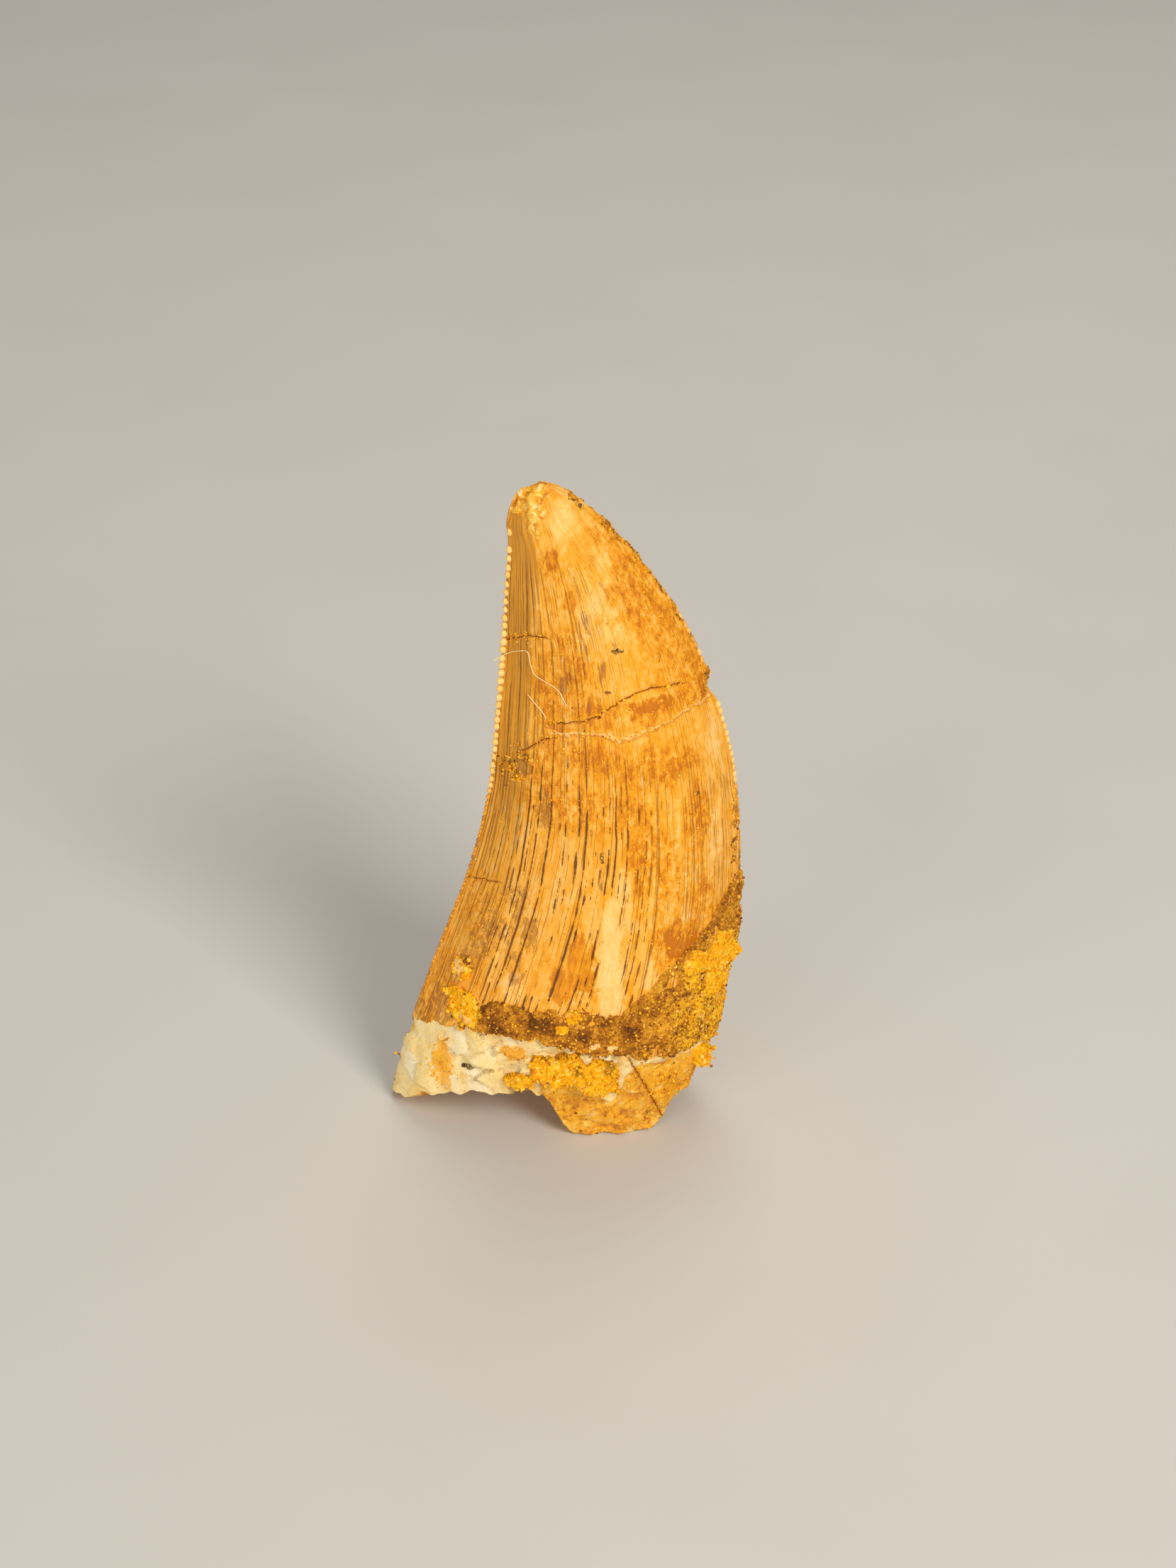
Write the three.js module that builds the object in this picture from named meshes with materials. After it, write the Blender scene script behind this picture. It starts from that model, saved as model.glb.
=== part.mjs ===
// Fossil tooth of a large meat-eating dinosaur, standing on its broken base.
// It grew as one piece and is one solid: a blade with a hollow cutting edge (distal) on -X,
// a bowed cutting edge (mesial) on +X, one flat side facing -Y and the other facing +Y.
// Millimetres, +Z up. The origin is on the ground, under the middle of the tooth's box.
import * as THREE from "three";
import { ParametricGeometry } from "three/addons/geometries/ParametricGeometry.js";
import { mergeVertices } from "three/addons/utils/BufferGeometryUtils.js";

// Driving dimensions
const HEIGHT = 49.6; // ground to worn tip
const BASE_HALF_THICKNESS = 5.7; // half of the labiolingual width at the broken base
const TIP_LEAN = 0.8; // how far the tip stands behind the base, along +Y
const TIP_X = -1.2; // where the blunt tip is, along X
const HOLLOW_RISE = 4.2; // how far the broken underside rises inside its rim
const RIM_SHARE = 0.78; // share of the underside's radius where its flat rim starts
const RIM_FADE = 0.26; // share of the tooth's length over which the uneven rim evens out

// The two cutting edges, as X and Z of stations that run from the base to the tip
const DISTAL_EDGE = [
  [-12.6, 1.0],
  [-11.0, 6.5],
  [-8.9, 13.0],
  [-6.5, 20.0],
  [-5.0, 26.5],
  [-4.35, 33.0],
  [-3.85, 39.0],
  [-3.45, 44.5],
  [-3.3, 47.3],
  [-2.65, 48.95],
  [TIP_X, HEIGHT],
];
const MESIAL_EDGE = [
  [10.2, 3.0],
  [11.3, 7.5],
  [12.25, 13.0],
  [12.6, 19.5],
  [12.2, 26.5],
  [11.0, 32.5],
  [8.9, 38.6],
  [5.55, 44.1],
  [2.75, 47.2],
  [0.7, 48.95],
  [TIP_X, HEIGHT],
];
// Half thickness at the same stations, as a share of the base's
const THICKNESS = [1.0, 1.0, 0.97, 0.9, 0.81, 0.7, 0.58, 0.43, 0.31, 0.18, 0];

// Height of the broken rim above the ground, by place across the tooth: -1 is distal, 1 is mesial.
// It touches the ground at three feet: one behind the distal corner, and a lobe on each side.
const FRONT_RIM = [
  [-1.0, 0.8],
  [-0.93, 0.9],
  [-0.78, 2.3],
  [-0.45, 3.8],
  [-0.08, 4.4],
  [0.22, 0],
  [0.68, 0],
  [0.88, 2.0],
  [1.0, 3.2],
];
const BACK_RIM = [
  [-1.0, 0.8],
  [-0.97, 0],
  [-0.76, 0],
  [-0.58, 1.9],
  [-0.3, 1.5],
  [-0.08, 0],
  [0.58, 0],
  [0.82, 1.8],
  [1.0, 3.2],
];

// The section is a drop: thickest a little mesial of the middle, drawn out to a flat distal flank.
const THICKEST_AT = 0.15;
const ROUNDING_AT_BASE = 0.62; // exponent of the section's flanks, smaller is rounder
const ROUNDING_DISTAL = 1.12;
const ROUNDING_MESIAL = 0.86;
const ROOT_SHARE = 0.3; // share of the tooth's length where the round root turns into the blade

// Mesh density
const SLICES = 56; // around the section
const UNDERSIDE_STACKS = 5;
const WALL_STACKS = 44;

const distalEdge = new THREE.SplineCurve(DISTAL_EDGE.map(([x, z]) => new THREE.Vector2(x, z)));
const mesialEdge = new THREE.SplineCurve(MESIAL_EDGE.map(([x, z]) => new THREE.Vector2(x, z)));
const thickness = new THREE.SplineCurve(THICKNESS.map((share, i) => new THREE.Vector2(i, share)));

// The height at a place between listed points, eased so that the rim has no overshoot.
function easedHeight(points, place) {
  const next = Math.max(1, points.findIndex(([at]) => at >= place));
  const [fromAt, fromHeight] = points[next - 1];
  const [toAt, toHeight] = points[next];
  return THREE.MathUtils.lerp(fromHeight, toHeight, THREE.MathUtils.smoothstep(place, fromAt, toAt));
}

// The section's half thickness at a place across it, as a share of its greatest.
function dropShare(place, along) {
  const distal = place < THICKEST_AT;
  const reach = distal ? (THICKEST_AT - place) / (1 + THICKEST_AT) : (place - THICKEST_AT) / (1 - THICKEST_AT);
  const blade = THREE.MathUtils.smoothstep(along, 0, ROOT_SHARE);
  const rounding = THREE.MathUtils.lerp(ROUNDING_AT_BASE, distal ? ROUNDING_DISTAL : ROUNDING_MESIAL, blade);
  return Math.max(0, 1 - reach * reach) ** rounding;
}

// A point of the tooth's side. around runs 0 to 1 from the distal edge along the front and back again
// along the back; along runs 0 to 1 from the broken rim to the tip.
function wallPoint(around, along, target) {
  const place = -Math.cos(2 * Math.PI * around);
  const front = around < 0.5;
  const distal = distalEdge.getPoint(along);
  const mesial = mesialEdge.getPoint(along);
  const across = (place + 1) / 2;
  const half = BASE_HALF_THICKNESS * thickness.getPoint(along).y * dropShare(place, along);
  const rim = easedHeight(front ? FRONT_RIM : BACK_RIM, place);
  const level = THREE.MathUtils.lerp(DISTAL_EDGE[0][1], MESIAL_EDGE[0][1], across);
  const unevenness = (rim - level) * Math.max(0, 1 - along / RIM_FADE) ** 2;
  return target.set(
    THREE.MathUtils.lerp(distal.x, mesial.x, across),
    (front ? -half : half) + TIP_LEAN * along * along,
    THREE.MathUtils.lerp(distal.y, mesial.y, across) + unevenness,
  );
}

// A point of the broken underside: a flat rim, then a shallow hollow. outward runs 0 to 1 from its middle to the rim.
function undersidePoint(around, outward, target) {
  const middleX = (DISTAL_EDGE[0][0] + MESIAL_EDGE[0][0]) / 2;
  const inside = Math.max(0, 1 - (outward / RIM_SHARE) ** 2);
  wallPoint(around, 0, target);
  return target.set(
    THREE.MathUtils.lerp(middleX, target.x, outward),
    target.y * outward,
    THREE.MathUtils.lerp(target.z, HOLLOW_RISE, inside),
  );
}

function toothPoint(u, v, target) {
  const stack = v * (UNDERSIDE_STACKS + WALL_STACKS);
  if (stack <= UNDERSIDE_STACKS) return undersidePoint(u, stack / UNDERSIDE_STACKS, target);
  return wallPoint(u, Math.min(1, (stack - UNDERSIDE_STACKS) / WALL_STACKS), target);
}

// The surface with its seam and poles welded and the triangles that collapse there left out.
function weld(surface) {
  surface.deleteAttribute("normal");
  surface.deleteAttribute("uv");
  const welded = mergeVertices(surface, 1e-3);
  const corners = welded.index.array;
  const kept = [];
  for (let i = 0; i < corners.length; i += 3) {
    const [a, b, c] = corners.slice(i, i + 3);
    if (a !== b && b !== c && c !== a) kept.push(a, b, c);
  }
  welded.setIndex(kept);
  welded.computeVertexNormals();
  return welded;
}

// Moves a geometry so that its box stands on the origin.
function standOnOrigin(geometry) {
  geometry.computeBoundingBox();
  const middle = geometry.boundingBox.getCenter(new THREE.Vector3());
  return geometry.translate(-middle.x, -middle.y, -geometry.boundingBox.min.z);
}

function makeTooth() {
  const surface = new ParametricGeometry(toothPoint, SLICES, UNDERSIDE_STACKS + WALL_STACKS);
  const enamel = new THREE.MeshStandardMaterial({ color: 0xe0a860, roughness: 0.45, metalness: 0 });
  const tooth = new THREE.Mesh(standOnOrigin(weld(surface)), enamel);
  tooth.name = "tooth";
  return tooth;
}

const fossil = new THREE.Group();
fossil.add(makeTooth());

export default fossil;
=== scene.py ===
# %% [markdown]
# # A fossil tooth
#
# This lesson builds the looks of one fossil dinosaur tooth in Blender. The tooth stands on its broken
# root. Its shape is already settled by a plain CAD solid, which the frame holds at its real size. What
# is added here is everything that an eye checks first: the serrations, the cracked and stained
# enamel, the chipped tip, the crust of sandstone and the loose grains.
#
# All lengths in this file are millimetres until the very last moment, when a mesh is handed to Blender
# in metres.

# %% The frame
from types import SimpleNamespace

import bpy
import numpy as np
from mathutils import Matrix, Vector


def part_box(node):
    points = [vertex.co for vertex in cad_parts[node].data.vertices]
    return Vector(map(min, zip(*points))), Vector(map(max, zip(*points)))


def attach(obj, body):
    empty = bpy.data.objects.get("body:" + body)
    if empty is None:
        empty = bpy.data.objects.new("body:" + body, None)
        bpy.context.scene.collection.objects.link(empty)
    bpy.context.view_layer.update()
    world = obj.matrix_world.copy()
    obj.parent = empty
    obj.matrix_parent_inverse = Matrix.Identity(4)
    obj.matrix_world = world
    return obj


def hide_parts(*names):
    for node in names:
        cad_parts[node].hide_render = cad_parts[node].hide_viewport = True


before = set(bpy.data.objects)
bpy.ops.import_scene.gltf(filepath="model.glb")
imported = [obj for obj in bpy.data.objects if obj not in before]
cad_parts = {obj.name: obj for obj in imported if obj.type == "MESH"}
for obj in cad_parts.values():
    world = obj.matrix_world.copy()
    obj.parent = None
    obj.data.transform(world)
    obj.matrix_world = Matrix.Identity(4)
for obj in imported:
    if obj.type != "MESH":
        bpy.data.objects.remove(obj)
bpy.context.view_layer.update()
MM = 0.001
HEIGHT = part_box("tooth")[1][2] / MM
print(f"The tooth stands {HEIGHT:.1f} mm tall.")

# %% [markdown]
# ## The camera, the floor and the light
#
# The tooth is seen from in front and above, as when it stands on a table before a person. The camera
# is set by what it aims at, how steeply it looks down and how far away it is, because those three can
# be read off a picture, while a position can't. The light is one large soft lamp at the right, a
# weaker one at the left, one above, and a pale room. The colours are shown as they are, without a film
# look, because the honey colours of the enamel would go grey in one.

# %% Camera
CAMERA_AIM = np.array([1.9, 0.0, 26.985])
CAMERA_DISTANCE = 199.56
CAMERA_ELEVATION = np.radians(33.0)
FIELD_OF_VIEW = np.radians(30.0)
SENSOR = 36.0

backwards = np.array([0.0, -np.cos(CAMERA_ELEVATION), np.sin(CAMERA_ELEVATION)])
camera_data = bpy.data.cameras.new("camera")
camera_data.sensor_fit = "VERTICAL"
camera_data.sensor_height = SENSOR
camera_data.lens = SENSOR / 2 / np.tan(FIELD_OF_VIEW / 2)
camera_data.clip_start = 0.01
camera = bpy.data.objects.new("camera", camera_data)
camera.location = (CAMERA_AIM + CAMERA_DISTANCE * backwards) * MM
camera.rotation_euler = (np.pi / 2 - CAMERA_ELEVATION, 0, 0)
bpy.context.collection.objects.link(camera)
bpy.context.scene.camera = camera
bpy.context.scene.view_settings.view_transform = "Standard"
print(f"The lens is {camera_data.lens:.1f} mm long.")

# %% Lamps and room
KEY_LAMP = {"place": (250, -320, 340), "width": 200, "watts": 1.9, "tint": (1.0, 0.95, 0.86)}
FILL_LAMP = {"place": (-300, -360, 70), "width": 280, "watts": 1.15, "tint": (1.0, 0.95, 0.87)}
TOP_LAMP = {"place": (40, 180, 430), "width": 200, "watts": 0.55, "tint": (1.0, 0.96, 0.9)}
ROOM_COLOUR = (0.86, 0.84, 0.81, 1.0)
ROOM_STRENGTH = 0.3


def hang_lamp(name, place, width, watts, tint):
    """A square soft lamp at a place, turned to face the middle of the tooth."""
    lamp_data = bpy.data.lights.new(name, "AREA")
    lamp_data.size = width * MM
    lamp_data.energy = watts
    lamp_data.color = tint
    lamp = bpy.data.objects.new(name, lamp_data)
    lamp.location = Vector(place) * MM
    to_tooth = Vector((0, 0, HEIGHT / 2)) - Vector(place)
    lamp.rotation_euler = to_tooth.to_track_quat("-Z", "Y").to_euler()
    bpy.context.collection.objects.link(lamp)


hang_lamp("key_lamp", **KEY_LAMP)
hang_lamp("fill_lamp", **FILL_LAMP)
hang_lamp("top_lamp", **TOP_LAMP)
room = bpy.data.worlds.new("room")
room.use_nodes = True
room.node_tree.nodes["Background"].inputs["Color"].default_value = ROOM_COLOUR
room.node_tree.nodes["Background"].inputs["Strength"].default_value = ROOM_STRENGTH
bpy.context.scene.world = room
print("Three soft lamps hang in a pale room.")

# %% [markdown]
# ## Writing shaders as sums
#
# A material is a net of small nodes. Written one node at a time it takes pages, so this class wraps an
# output of a node and lets Python's own signs add the Math nodes: `1 - mask * 0.5` makes two nodes and
# returns the last one's output. Every other node comes from the one method `node`.


# %% The class for shader sums
class Shade:
    """One value in a material's node tree: the output socket of a node."""

    def __init__(self, tree, socket=None):
        self.tree = tree
        self.socket = socket

    def node(self, kind, settings=None, inputs=None, output=0):
        """Add a node of any kind: first its settings, then the values or links of its sockets."""
        made = self.tree.nodes.new("ShaderNode" + kind)
        for name, value in (settings or {}).items():
            if name == "stops":
                self.set_stops(made.color_ramp, value)
            else:
                setattr(made, name, value)
        for name, value in (inputs or {}).items():
            if isinstance(value, Shade):
                self.tree.links.new(value.socket, made.inputs[name])
            else:
                made.inputs[name].default_value = value
        return Shade(self.tree, made.outputs[output])

    @staticmethod
    def set_stops(ramp, stops):
        """Give a ramp its stops, each a position and a colour, in rising order."""
        for index, (position, tint) in enumerate(stops):
            stop = ramp.elements[index] if index < 2 else ramp.elements.new(position)
            stop.position = position
            stop.color = tint

    def math(self, operation, *values):
        return self.node("Math", {"operation": operation}, dict(enumerate(values)))

    def __add__(self, other):
        return self.math("ADD", self, other)

    def __sub__(self, other):
        return self.math("SUBTRACT", self, other)

    def __mul__(self, other):
        return self.math("MULTIPLY", self, other)

    def __truediv__(self, other):
        return self.math("DIVIDE", self, other)

    def __rsub__(self, other):
        return self.math("SUBTRACT", other, self)

    def __abs__(self):
        return self.math("ABSOLUTE", self)

    __radd__ = __add__
    __rmul__ = __mul__

    def smooth(self, start, end):
        """0 below start, 1 above end, and an eased ramp between them."""
        ramp = {"Value": self, "From Min": start, "From Max": end}
        return self.node("MapRange", {"interpolation_type": "SMOOTHSTEP"}, ramp)

    def mix(self, under, over):
        """The colour under, with the colour over laid on it as far as this value says."""
        return self.node("Mix", {"data_type": "RGBA"}, {0: self, 6: under, 7: over}, output=2)

    def ramp(self, stops):
        """The colour that a list of stops gives for this value."""
        return self.node("ValToRGB", {"stops": stops}, {0: self})

    def vector(self, x, y, z=0.0):
        return self.node("CombineXYZ", inputs={0: x, 1: y, 2: z})

    def part(self, axis):
        """One of the three numbers of a vector."""
        return self.node("SeparateXYZ", inputs={0: self}, output=axis)

    def stretch(self, x, y, z):
        """A vector with each of its numbers multiplied."""
        return self.node("VectorMath", {"operation": "MULTIPLY"}, {0: self, 1: (x, y, z)})

    def noise(self, place, scale, detail=2.0, roughness=0.5, distortion=0.0):
        """Cloudy noise from 0 to 1, mostly near 0.5."""
        knobs = {"Scale": scale, "Detail": detail, "Roughness": roughness, "Distortion": distortion}
        return self.node("TexNoise", inputs={"Vector": place, **knobs})

    def attribute(self, name):
        return self.node("Attribute", {"attribute_name": name}, output="Fac")

    def millimetres(self):
        """The place on the object, in millimetres."""
        return self.node("TexCoord", output="Object").stretch(1 / MM, 1 / MM, 1 / MM)


def colour(red, green, blue):
    """A colour given as 0 to 255 on a screen, in the linear light that shaders work in."""
    screen = np.array([red, green, blue]) / 255
    linear = np.where(screen > 0.04045, ((screen + 0.055) / 1.055) ** 2.4, screen / 12.92)
    return (*linear, 1.0)


def new_material(name, gloss=0.3):
    """A material with a Principled shader. Returns it, the shader, and a Shade to make nodes with."""
    material = bpy.data.materials.new(name)
    material.use_nodes = True
    shader = material.node_tree.nodes["Principled BSDF"]
    shader.inputs["Specular IOR Level"].default_value = gloss
    return material, shader, Shade(material.node_tree)


def connect(material, shader, **sockets):
    """Link values to a shader's sockets; a low line in a name stands for a space."""
    for name, value in sockets.items():
        material.node_tree.links.new(value.socket, shader.inputs[name.replace("_", " ")])


# %% [markdown]
# ## A helper that makes objects from arrays
#
# A mesh is a list of points and a list of faces. Numpy works out both as whole arrays, and this
# helper hands them to Blender, in metres, with any per-point values the material will read.


# %% Meshes from arrays
def make_piece(name, points, faces, material, values=None, smooth=True):
    """An object at the origin whose mesh has these points (mm), faces, and named values per point."""
    mesh = bpy.data.meshes.new(name)
    mesh.from_pydata(points.reshape(-1, 3) * MM, [], faces)
    mesh.polygons.foreach_set("use_smooth", np.full(len(mesh.polygons), smooth))
    for value_name, value in (values or {}).items():
        layer = mesh.attributes.new(value_name, "FLOAT", "POINT")
        layer.data.foreach_set("value", np.ascontiguousarray(value, dtype=np.float32).ravel())
    mesh.materials.append(material)
    piece = bpy.data.objects.new(name, mesh)
    bpy.context.collection.objects.link(piece)
    print(f"{name}: {len(mesh.vertices)} points, {len(mesh.loops) - 2 * len(mesh.polygons)} triangles")
    return piece


# %% Floor
FLOOR_REACH = 4000.0
floor_material, floor_shader, paint = new_material("pale_floor")
floor_cloud = paint.noise(paint.millimetres(), 0.04)
floor_colour = floor_cloud.mix(colour(205, 202, 196), colour(212, 209, 204))
connect(floor_material, floor_shader, Base_Color=floor_colour)
floor_shader.inputs["Roughness"].default_value = 0.8
corners = np.array([[-1, -1, 0], [1, -1, 0], [1, 1, 0], [-1, 1, 0]]) * FLOOR_REACH
floor = make_piece("floor", corners, [(0, 1, 2, 3)], floor_material)

# %% [markdown]
# ## The tooth's plain shape
#
# A meat-eater's tooth is a flat curved blade with two cutting edges. The hollow one faces -X here, and
# the bowed one +X. Both are splines through a few stations, from the root to the tip, and every level
# of the tooth is a drop-shaped section between them. These are the same stations and sections as
# the CAD solid's, so the detailed mesh lies exactly where the solid does.

# %% Stations of the blade
HALF_THICKNESS = 5.7
TIP_LEAN = 0.8
TIP_X = -1.2
HOLLOW_RISE = 4.2
RIM_SHARE = 0.78
RIM_FADE = 0.26
THICKEST_AT = 0.15
ROUNDING_AT_BASE = 0.62
ROUNDING_DISTAL = 1.12
ROUNDING_MESIAL = 0.86
ROOT_SHARE = 0.3

DISTAL_EDGE = np.array([
    (-12.6, 1.0), (-11.0, 6.5), (-8.9, 13.0), (-6.5, 20.0), (-5.0, 26.5), (-4.35, 33.0),
    (-3.85, 39.0), (-3.45, 44.5), (-3.3, 47.3), (-2.65, 48.95), (TIP_X, HEIGHT),
])
MESIAL_EDGE = np.array([
    (10.2, 3.0), (11.3, 7.5), (12.25, 13.0), (12.6, 19.5), (12.2, 26.5), (11.0, 32.5),
    (8.9, 38.6), (5.55, 44.1), (2.75, 47.2), (0.7, 48.95), (TIP_X, HEIGHT),
])
THICKNESS = np.array([1.0, 1.0, 0.97, 0.9, 0.81, 0.7, 0.58, 0.43, 0.31, 0.18, 0])
FRONT_RIM = np.array([
    (-1.0, 0.8), (-0.93, 0.9), (-0.78, 2.3), (-0.45, 3.8), (-0.08, 4.4),
    (0.22, 0), (0.68, 0), (0.88, 2.0), (1.0, 3.2),
])
BACK_RIM = np.array([
    (-1.0, 0.8), (-0.97, 0), (-0.76, 0), (-0.58, 1.9), (-0.3, 1.5),
    (-0.08, 0), (0.58, 0), (0.82, 1.8), (1.0, 3.2),
])


def spline(stations, along):
    """A Catmull-Rom curve: each stretch meets its stations with half the slope of their neighbours."""
    last = len(stations) - 1
    run = np.clip(along, 0, 1) * last
    start = np.minimum(run.astype(int), last - 1)
    share = (run - start).reshape(run.shape + (1,) * (stations.ndim - 1))
    before, a, b, after = (stations[np.clip(start + step, 0, last)] for step in (-1, 0, 1, 2))
    leave = (b - before) / 2
    meet = (after - a) / 2
    cubic = (2 * a - 2 * b + leave + meet) * share**3
    return cubic + (-3 * a + 3 * b - 2 * leave - meet) * share**2 + leave * share + a


def ease(value, start, end):
    """0 below start, 1 above end, and t * t * (3 - 2 * t) between them."""
    t = np.clip((value - start) / (end - start), 0, 1)
    return t * t * (3 - 2 * t)


def eased_height(points, place):
    """The height of the rim at a place, eased from each listed point to the next."""
    start = np.clip(np.searchsorted(points[:, 0], place) - 1, 0, len(points) - 2)
    rise = points[start + 1, 1] - points[start, 1]
    return points[start, 1] + rise * ease(place, points[start, 0], points[start + 1, 0])


# %% The blade as a function of two parameters
EDGE_INSET = 0.16


def edge_inset(z):
    """How far the cutting edges draw in, so that the serrations on them end at the tooth's outline."""
    return EDGE_INSET * ease(z, 6, 12) * (1 - ease(z, 45.5, 47))


def blade(place, front, along):
    """A point of the side: place runs -1 to 1 between the edges, along runs 0 to 1 from rim to tip.

    X and Z lie between the two edges. Y is a half thickness, (1 - reach^2) to a power, where reach is
    how far the place is from the thickest line. The rim's unevenness fades out upwards."""
    distal = spline(DISTAL_EDGE, along)
    mesial = spline(MESIAL_EDGE, along)
    left = distal[..., 0] + edge_inset(distal[..., 1])
    right = mesial[..., 0] - edge_inset(mesial[..., 1])
    across = (place + 1) / 2
    on_distal = place < THICKEST_AT
    spread = np.where(on_distal, 1 + THICKEST_AT, 1 - THICKEST_AT)
    reach = abs(place - THICKEST_AT) / spread
    rounding = np.where(on_distal, ROUNDING_DISTAL, ROUNDING_MESIAL)
    rounding = ROUNDING_AT_BASE + (rounding - ROUNDING_AT_BASE) * ease(along, 0, ROOT_SHARE)
    half = HALF_THICKNESS * spline(THICKNESS, along) * np.maximum(0, 1 - reach**2) ** rounding
    rim = np.where(front, eased_height(FRONT_RIM, place), eased_height(BACK_RIM, place))
    level = DISTAL_EDGE[0, 1] + (MESIAL_EDGE[0, 1] - DISTAL_EDGE[0, 1]) * across
    unevenness = (rim - level) * np.maximum(0, 1 - along / RIM_FADE) ** 2
    x = left + (right - left) * across
    y = np.where(front, -half, half) + TIP_LEAN * along**2
    z = distal[..., 1] + (mesial[..., 1] - distal[..., 1]) * across + unevenness
    return np.stack([x, y, z], axis=-1)


# %% Grids on the blade
COLUMNS = 300
ROWS = 308
UNDERSIDE_ROWS = 18
END_CROWDING = 0.42


def blade_grid(columns, ring_along):
    """Points of the blade on rings, each from the distal edge along the front and back along the back."""
    turn = np.arange(columns) / columns
    on_front = turn < 0.5
    run = np.where(on_front, 2 * turn, 2 - 2 * turn)
    ring_place = (2 * run - 1 - np.cos(np.pi * run)) / 2
    along, place = np.meshgrid(ring_along, ring_place, indexing="ij")
    front = np.broadcast_to(on_front, place.shape)
    points = blade(place, front, along)
    x, y, z = np.moveaxis(points, -1, 0)
    run = np.broadcast_to(run, place.shape)
    return SimpleNamespace(points=points, x=x, y=y, z=z, place=place, along=along, front=front, run=run)


def outward(points):
    """The unit normals of a closed grid: the cross product of its steps around and its steps along."""
    around_step = np.roll(points, -1, axis=1) - np.roll(points, 1, axis=1)
    normal = np.cross(around_step, np.gradient(points, axis=0))
    return normal / np.maximum(np.linalg.norm(normal, axis=-1, keepdims=True), 1e-9)


rise = np.linspace(0, 1, ROWS)
whole_blade = blade_grid(COLUMNS, rise - END_CROWDING * np.sin(2 * np.pi * rise) / (2 * np.pi))
print(f"The side is a grid of {ROWS} rings of {COLUMNS} points.")

# %% [markdown]
# ## Tools for drawing on the tooth
#
# The tooth isn't the same all over. A field is one number for each point of a grid, from 0 to 1, that
# says how far the point is crust, bare root, stained and so on. The same fields shape the mesh and
# later colour it, so a lump of crust is always crust-coloured. They are drawn with a few simple tools:
# patches, lines through points, random lumps, and random cells.

# %% Lumps and cells
TABLE = 32


def lumps(points, size, seed):
    """Random lumps from -1 to 1: a random number at each corner of cubes of this size, eased between."""
    scaled = points / size
    cube = np.floor(scaled).astype(int)
    share = scaled - cube
    share = share * share * (3 - 2 * share)
    table = np.random.default_rng(seed).uniform(-1, 1, (TABLE, TABLE, TABLE))
    total = np.zeros(points.shape[:-1])
    for corner in np.ndindex(2, 2, 2):
        weight = np.prod(np.where(corner, share, 1 - share), axis=-1)
        i, j, k = np.moveaxis((cube + corner) % TABLE, -1, 0)
        total += weight * table[i, j, k]
    return total


def rough(points, size, seed, octaves=3):
    """Lumps with ever smaller lumps on them, each octave half as large and half as high."""
    return sum(lumps(points, size / 2**n, seed + n) / 2**n for n in range(octaves))


def cells(points, size, seed):
    """Random cells: each cube of this size holds one seed, and a point belongs to the nearest seed.

    Returns the distances to the nearest seed and to the next one, as shares of the size, the arrow
    from the nearest seed, and four random numbers from 0 to 1 that belong to it."""
    table = np.random.default_rng(seed).uniform(size=(TABLE, TABLE, TABLE, 7))
    scaled = points / size
    cube = np.floor(scaled).astype(int)
    nearest = np.full(points.shape[:-1], 9.0)
    second = nearest.copy()
    arrow = np.zeros(points.shape)
    chances = np.zeros((*points.shape[:-1], 4))
    for step in np.ndindex(3, 3, 3):
        neighbour = cube + np.array(step) - 1
        i, j, k = np.moveaxis(neighbour % TABLE, -1, 0)
        found = table[i, j, k]
        away = scaled - neighbour - found[..., :3]
        gap = np.linalg.norm(away, axis=-1)
        closer = gap < nearest
        second = np.where(closer, nearest, np.minimum(second, gap))
        nearest = np.where(closer, gap, nearest)
        arrow = np.where(closer[..., None], away, arrow)
        chances = np.where(closer[..., None], found[..., 3:], chances)
    return nearest, second, arrow, chances


def domes(points, size, seed):
    """Round grains, one for each cell: how high a point is on its grain, 0 to 1, and the grain's tone."""
    nearest, _, _, chances = cells(points, size, seed)
    return np.sqrt(np.maximum(0, 1 - nearest**2)), chances[..., 0]


# %% Patches and lines
def patches(grid, spots):
    """1 in the middle of each spot (x, z, half width, half height), falling to 0 at 1.6 of its size."""
    cover = np.zeros(grid.x.shape)
    for x, z, wide, tall in spots:
        cover = np.maximum(cover, 1 - ease(np.hypot((grid.x - x) / wide, (grid.z - z) / tall), 0.4, 1.6))
    return cover


def side_patches(grid, front_spots, back_spots):
    """The patches of one list on the front, and of another on the back."""
    return np.where(grid.front, patches(grid, front_spots), patches(grid, back_spots))


def side_line(grid, front_line, back_line):
    """The height of a line drawn on each side, at every point of the grid."""
    on_front = np.interp(grid.x, *np.transpose(front_line))
    return np.where(grid.front, on_front, np.interp(grid.x, *np.transpose(back_line)))


def line_gap(grid, paths):
    """The distance to the nearest of some lines through points: more than 0 on one side of it, and
    less on the other, so that it runs evenly through 0 on the line itself."""
    best = np.full(grid.x.shape, 99.0)
    for path in paths:
        for (x0, z0), (x1, z1) in zip(path[:-1], path[1:]):
            dx, dz = x1 - x0, z1 - z0
            share = np.clip(((grid.x - x0) * dx + (grid.z - z0) * dz) / (dx * dx + dz * dz), 0, 1)
            off_x, off_z = grid.x - x0 - share * dx, grid.z - z0 - share * dz
            gap = np.hypot(off_x, off_z)
            side = np.where(dx * off_z - dz * off_x < 0, -1, 1)
            best = np.where(gap < abs(best), side * gap, best)
    return best


# %% [markdown]
# ## Where the root, the crust and the sand are
#
# The enamel ends in a broken line a quarter of the way up. Below it, a band of sandstone still clings to
# the tooth, and under that the bare root shows: dentine, split into pale plates. On the front the root
# carries a cushion of yellow sand, and a lobe of the root below that cushion is set back.

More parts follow.
